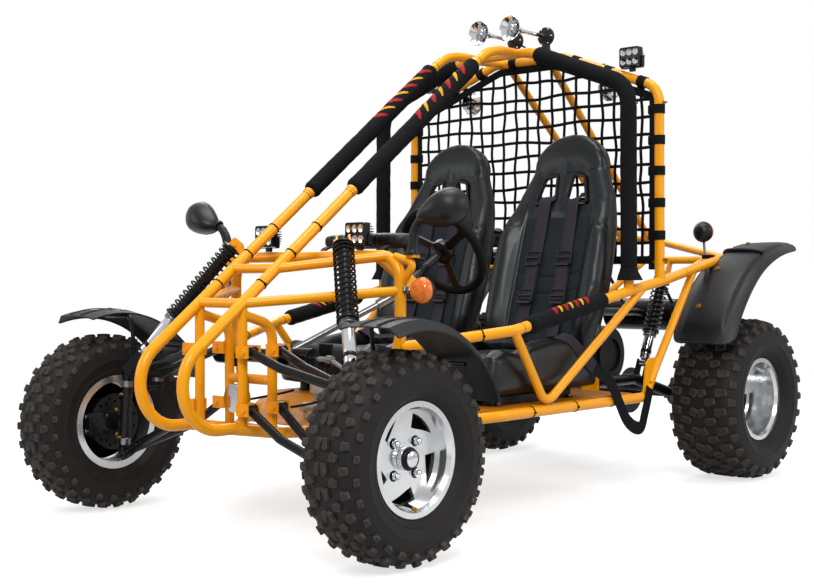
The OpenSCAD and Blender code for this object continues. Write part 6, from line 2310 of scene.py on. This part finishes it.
@dataclass(frozen=True)
class Stage:
    """The photograph's camera, a white room and soft lights.

    Attributes:
        eye: The camera's place.
        azimuth: Its direction in degrees, from +Y towards -X.
        pitch: How far it looks down.
        roll: Its roll.
        lens: Its focal length in millimetres for a sensor 36 wide.
    """

    eye: tuple[float, float, float] = (2.74323, -3.25018, 0.71399)
    azimuth: float = 42.03
    pitch: float = 0.79
    roll: float = -0.05
    lens: float = 57.26

    def build(self) -> None:
        """Makes the camera, the floor, the world and the lights."""
        az, el, roll = (math.radians(v) for v in (self.azimuth, self.pitch, self.roll))
        ahead = np.array([-math.sin(az) * math.cos(el), math.cos(az) * math.cos(el), -math.sin(el)])
        right = np.array([math.cos(az), math.sin(az), 0.0])
        up = np.cross(right, ahead)
        turned_right = math.cos(roll) * right + math.sin(roll) * up
        turned_up = math.cos(roll) * up - math.sin(roll) * right
        camera = bpy.data.objects.new("camera", bpy.data.cameras.new("camera"))
        camera.data.sensor_width = 36
        camera.data.lens = self.lens
        camera.data.clip_start, camera.data.clip_end = 0.05, 60
        basis = np.eye(4)
        basis[:3, :3] = np.stack([turned_right, turned_up, -ahead], 1)
        basis[:3, 3] = self.eye
        camera.matrix_world = Matrix(basis.tolist())
        bpy.context.scene.collection.objects.link(camera)
        bpy.context.scene.camera = camera
        bpy.context.scene.view_settings.view_transform = "Standard"
        self.build_room()
        self.light("key", (3.6, -4.2, 4.6), 2.4, 225)
        self.light("fill", (4.8, 1.6, 2.6), 2.6, 58)
        self.light("back", (-3.6, 3.2, 4.2), 2.8, 85)
        self.light("nose", (-3.4, -4.4, 2.4), 2.2, 44)
        self.light("top", (0.2, 0.0, 5.2), 2.6, 135)

    def light(self, name: str, at: Sequence[float], size: float, power: float) -> None:
        """Adds a soft lamp that looks at the kart.

        Args:
            name: Its name.
            at: Its place.
            size: Its side.
            power: Its power in watts.
        """
        data = bpy.data.lights.new(name, "AREA")
        data.shape = "SQUARE"
        data.size = size
        data.energy = power
        lamp = bpy.data.objects.new(name, data)
        lamp.matrix_world = Matrix(place(at, np.asarray(at, float) - [0.0, 0.0, 0.5]).tolist())
        bpy.context.scene.collection.objects.link(lamp)

    def build_room(self) -> None:
        """Makes the white floor and the white surroundings, which light the kart a little less than they show."""
        world = bpy.data.worlds.new("room")
        world.use_nodes = True
        world.node_tree.nodes.clear()
        g = Graph(world.node_tree)
        path = g.add("ShaderNodeLightPath")
        high = g.add("ShaderNodeSeparateXYZ", {0: g.add("ShaderNodeTexCoord").outputs["Object"]}).outputs["Z"]
        sky = g.sum("ADD", 0.05, g.sum("MULTIPLY", g.ramp(high, -0.25, 0.75), 0.45))
        mirrored = g.sum("MULTIPLY", g.sum("MAXIMUM", path.outputs["Is Glossy Ray"],
                                           path.outputs["Is Transmission Ray"]), 0.8)
        strength = g.sum("MAXIMUM", g.sum("MAXIMUM", sky, mirrored), path.outputs["Is Camera Ray"])
        back = g.add("ShaderNodeBackground", {"Color": (1, 1, 1, 1), "Strength": strength})
        g.add("ShaderNodeOutputWorld", {"Surface": back.outputs[0]})
        bpy.context.scene.world = world
        rings = np.array([0.001, 2.5, 6.0, 14.0])
        floor = skin(np.stack([np.column_stack([circle(r, 48), np.full(48, FLOOR_Z)]) for r in rings]), caps=False)
        mesh = bpy.data.meshes.new("floor")
        mesh.from_pydata(floor.points.tolist(), [], floor.faces[0].tolist())
        made = bpy.data.materials.new("floor")
        made.use_nodes = True
        made.node_tree.nodes.clear()
        g = Graph(made.node_tree)
        coords = g.add("ShaderNodeTexCoord").outputs["Object"]
        tone = g.ramp(noise(g, coords, 1.5, 2.0), 0.0, 1.0)
        shade = g.sum("ADD", 0.50, g.sum("MULTIPLY", tone, 0.02))
        colour = g.add("ShaderNodeCombineColor", {0: shade, 1: shade, 2: shade}).outputs[0]
        matt = g.add("ShaderNodeBsdfDiffuse", {"Color": colour})
        path = g.add("ShaderNodeLightPath")
        seen = g.sum("MAXIMUM", path.outputs["Is Camera Ray"],
                     g.sum("MULTIPLY", path.outputs["Is Glossy Ray"], 0.5))
        own = g.add("ShaderNodeEmission", {"Color": (1, 1, 1, 1),
                                           "Strength": g.sum("ADD", 0.03, g.sum("MULTIPLY", seen, 0.66))})
        far = g.ramp(g.add("ShaderNodeVectorMath", {0: coords}, operation="LENGTH").outputs["Value"], 2.2, 5.5)
        white = g.add("ShaderNodeEmission", {"Color": (1, 1, 1, 1), "Strength": g.sum("MAXIMUM", seen, 0.12)})
        lit = g.add("ShaderNodeAddShader", {0: matt.outputs[0], 1: own.outputs[0]})
        mixed = g.add("ShaderNodeMixShader", {0: far, 1: lit.outputs[0], 2: white.outputs[0]})
        g.add("ShaderNodeOutputMaterial", {"Surface": mixed.outputs[0]})
        mesh.materials.append(made)
        ground = bpy.data.objects.new("floor", mesh)
        bpy.context.scene.collection.objects.link(ground)


SHOWN = {
    "nose_loops": PAINT, "front_frame": PAINT, "dash_frame": PAINT, "floor_frame": PAINT, "floor_pan": PAN,
    "side_frame_left": PAINT, "side_frame_right": PAINT, "main_hoop": PAINT,
    "rear_hoop": PAINT, "rear_frame": PAINT, "engine": CAST_METAL, "muffler": BLACK_METAL,
    "swing_arm": BLACK_METAL, "steering_rack": BLACK_METAL, "steering_shaft": STEEL,
    "pedals": BLACK_METAL, "brake_master": RESERVOIR, "disc_horn": CHROME,
    "a_arms": BLACK_METAL, "tie_rods": STEEL, "knuckle_left": BLACK_METAL, "knuckle_right": BLACK_METAL,
    "front_fender_left": FENDER, "front_fender_right": FENDER, "rim_front_left": RIM_METAL,
    "rim_front_right": RIM_METAL, "hub_front_left": CAST_METAL, "hub_front_right": CAST_METAL,
    "rear_axle": CAST_METAL, "rear_rims": RIM_METAL}


def spread(corners: Sequence[Sequence[float]]) -> list[list[float]]:
    """Corner vectors as plain lists.

    Args:
        corners: The corners.

    Returns:
        The lists.
    """
    return [[round(float(v), 5) for v in corner] for corner in corners]


def main() -> None:
    """Builds the kart over its frame, then the stage."""
    logging.basicConfig(level=logging.INFO, format="%(name)s: %(message)s")
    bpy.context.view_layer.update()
    dress(SHOWN)
    seat = Seat()
    front_shock = Shock("front_shock_units", "front_shocks", (0.226, -0.7205, 0.803), (0.442, -0.9095, 0.470), 13)
    rear_shock = Shock("rear_shock_units", "rear_shocks", (0.270, 0.8925, 0.712), (0.270, 0.7585, 0.396), 10)
    for part in (Wheels(), seat, Harness(seat), Net(), Padding(), front_shock, rear_shock, Lamps(), Mirrors(),
                 Controls(), Fenders(), Fittings(), Stage()):
        log.info("making %s", type(part).__name__)
        part.build()


if __name__ == "__main__":
    main()
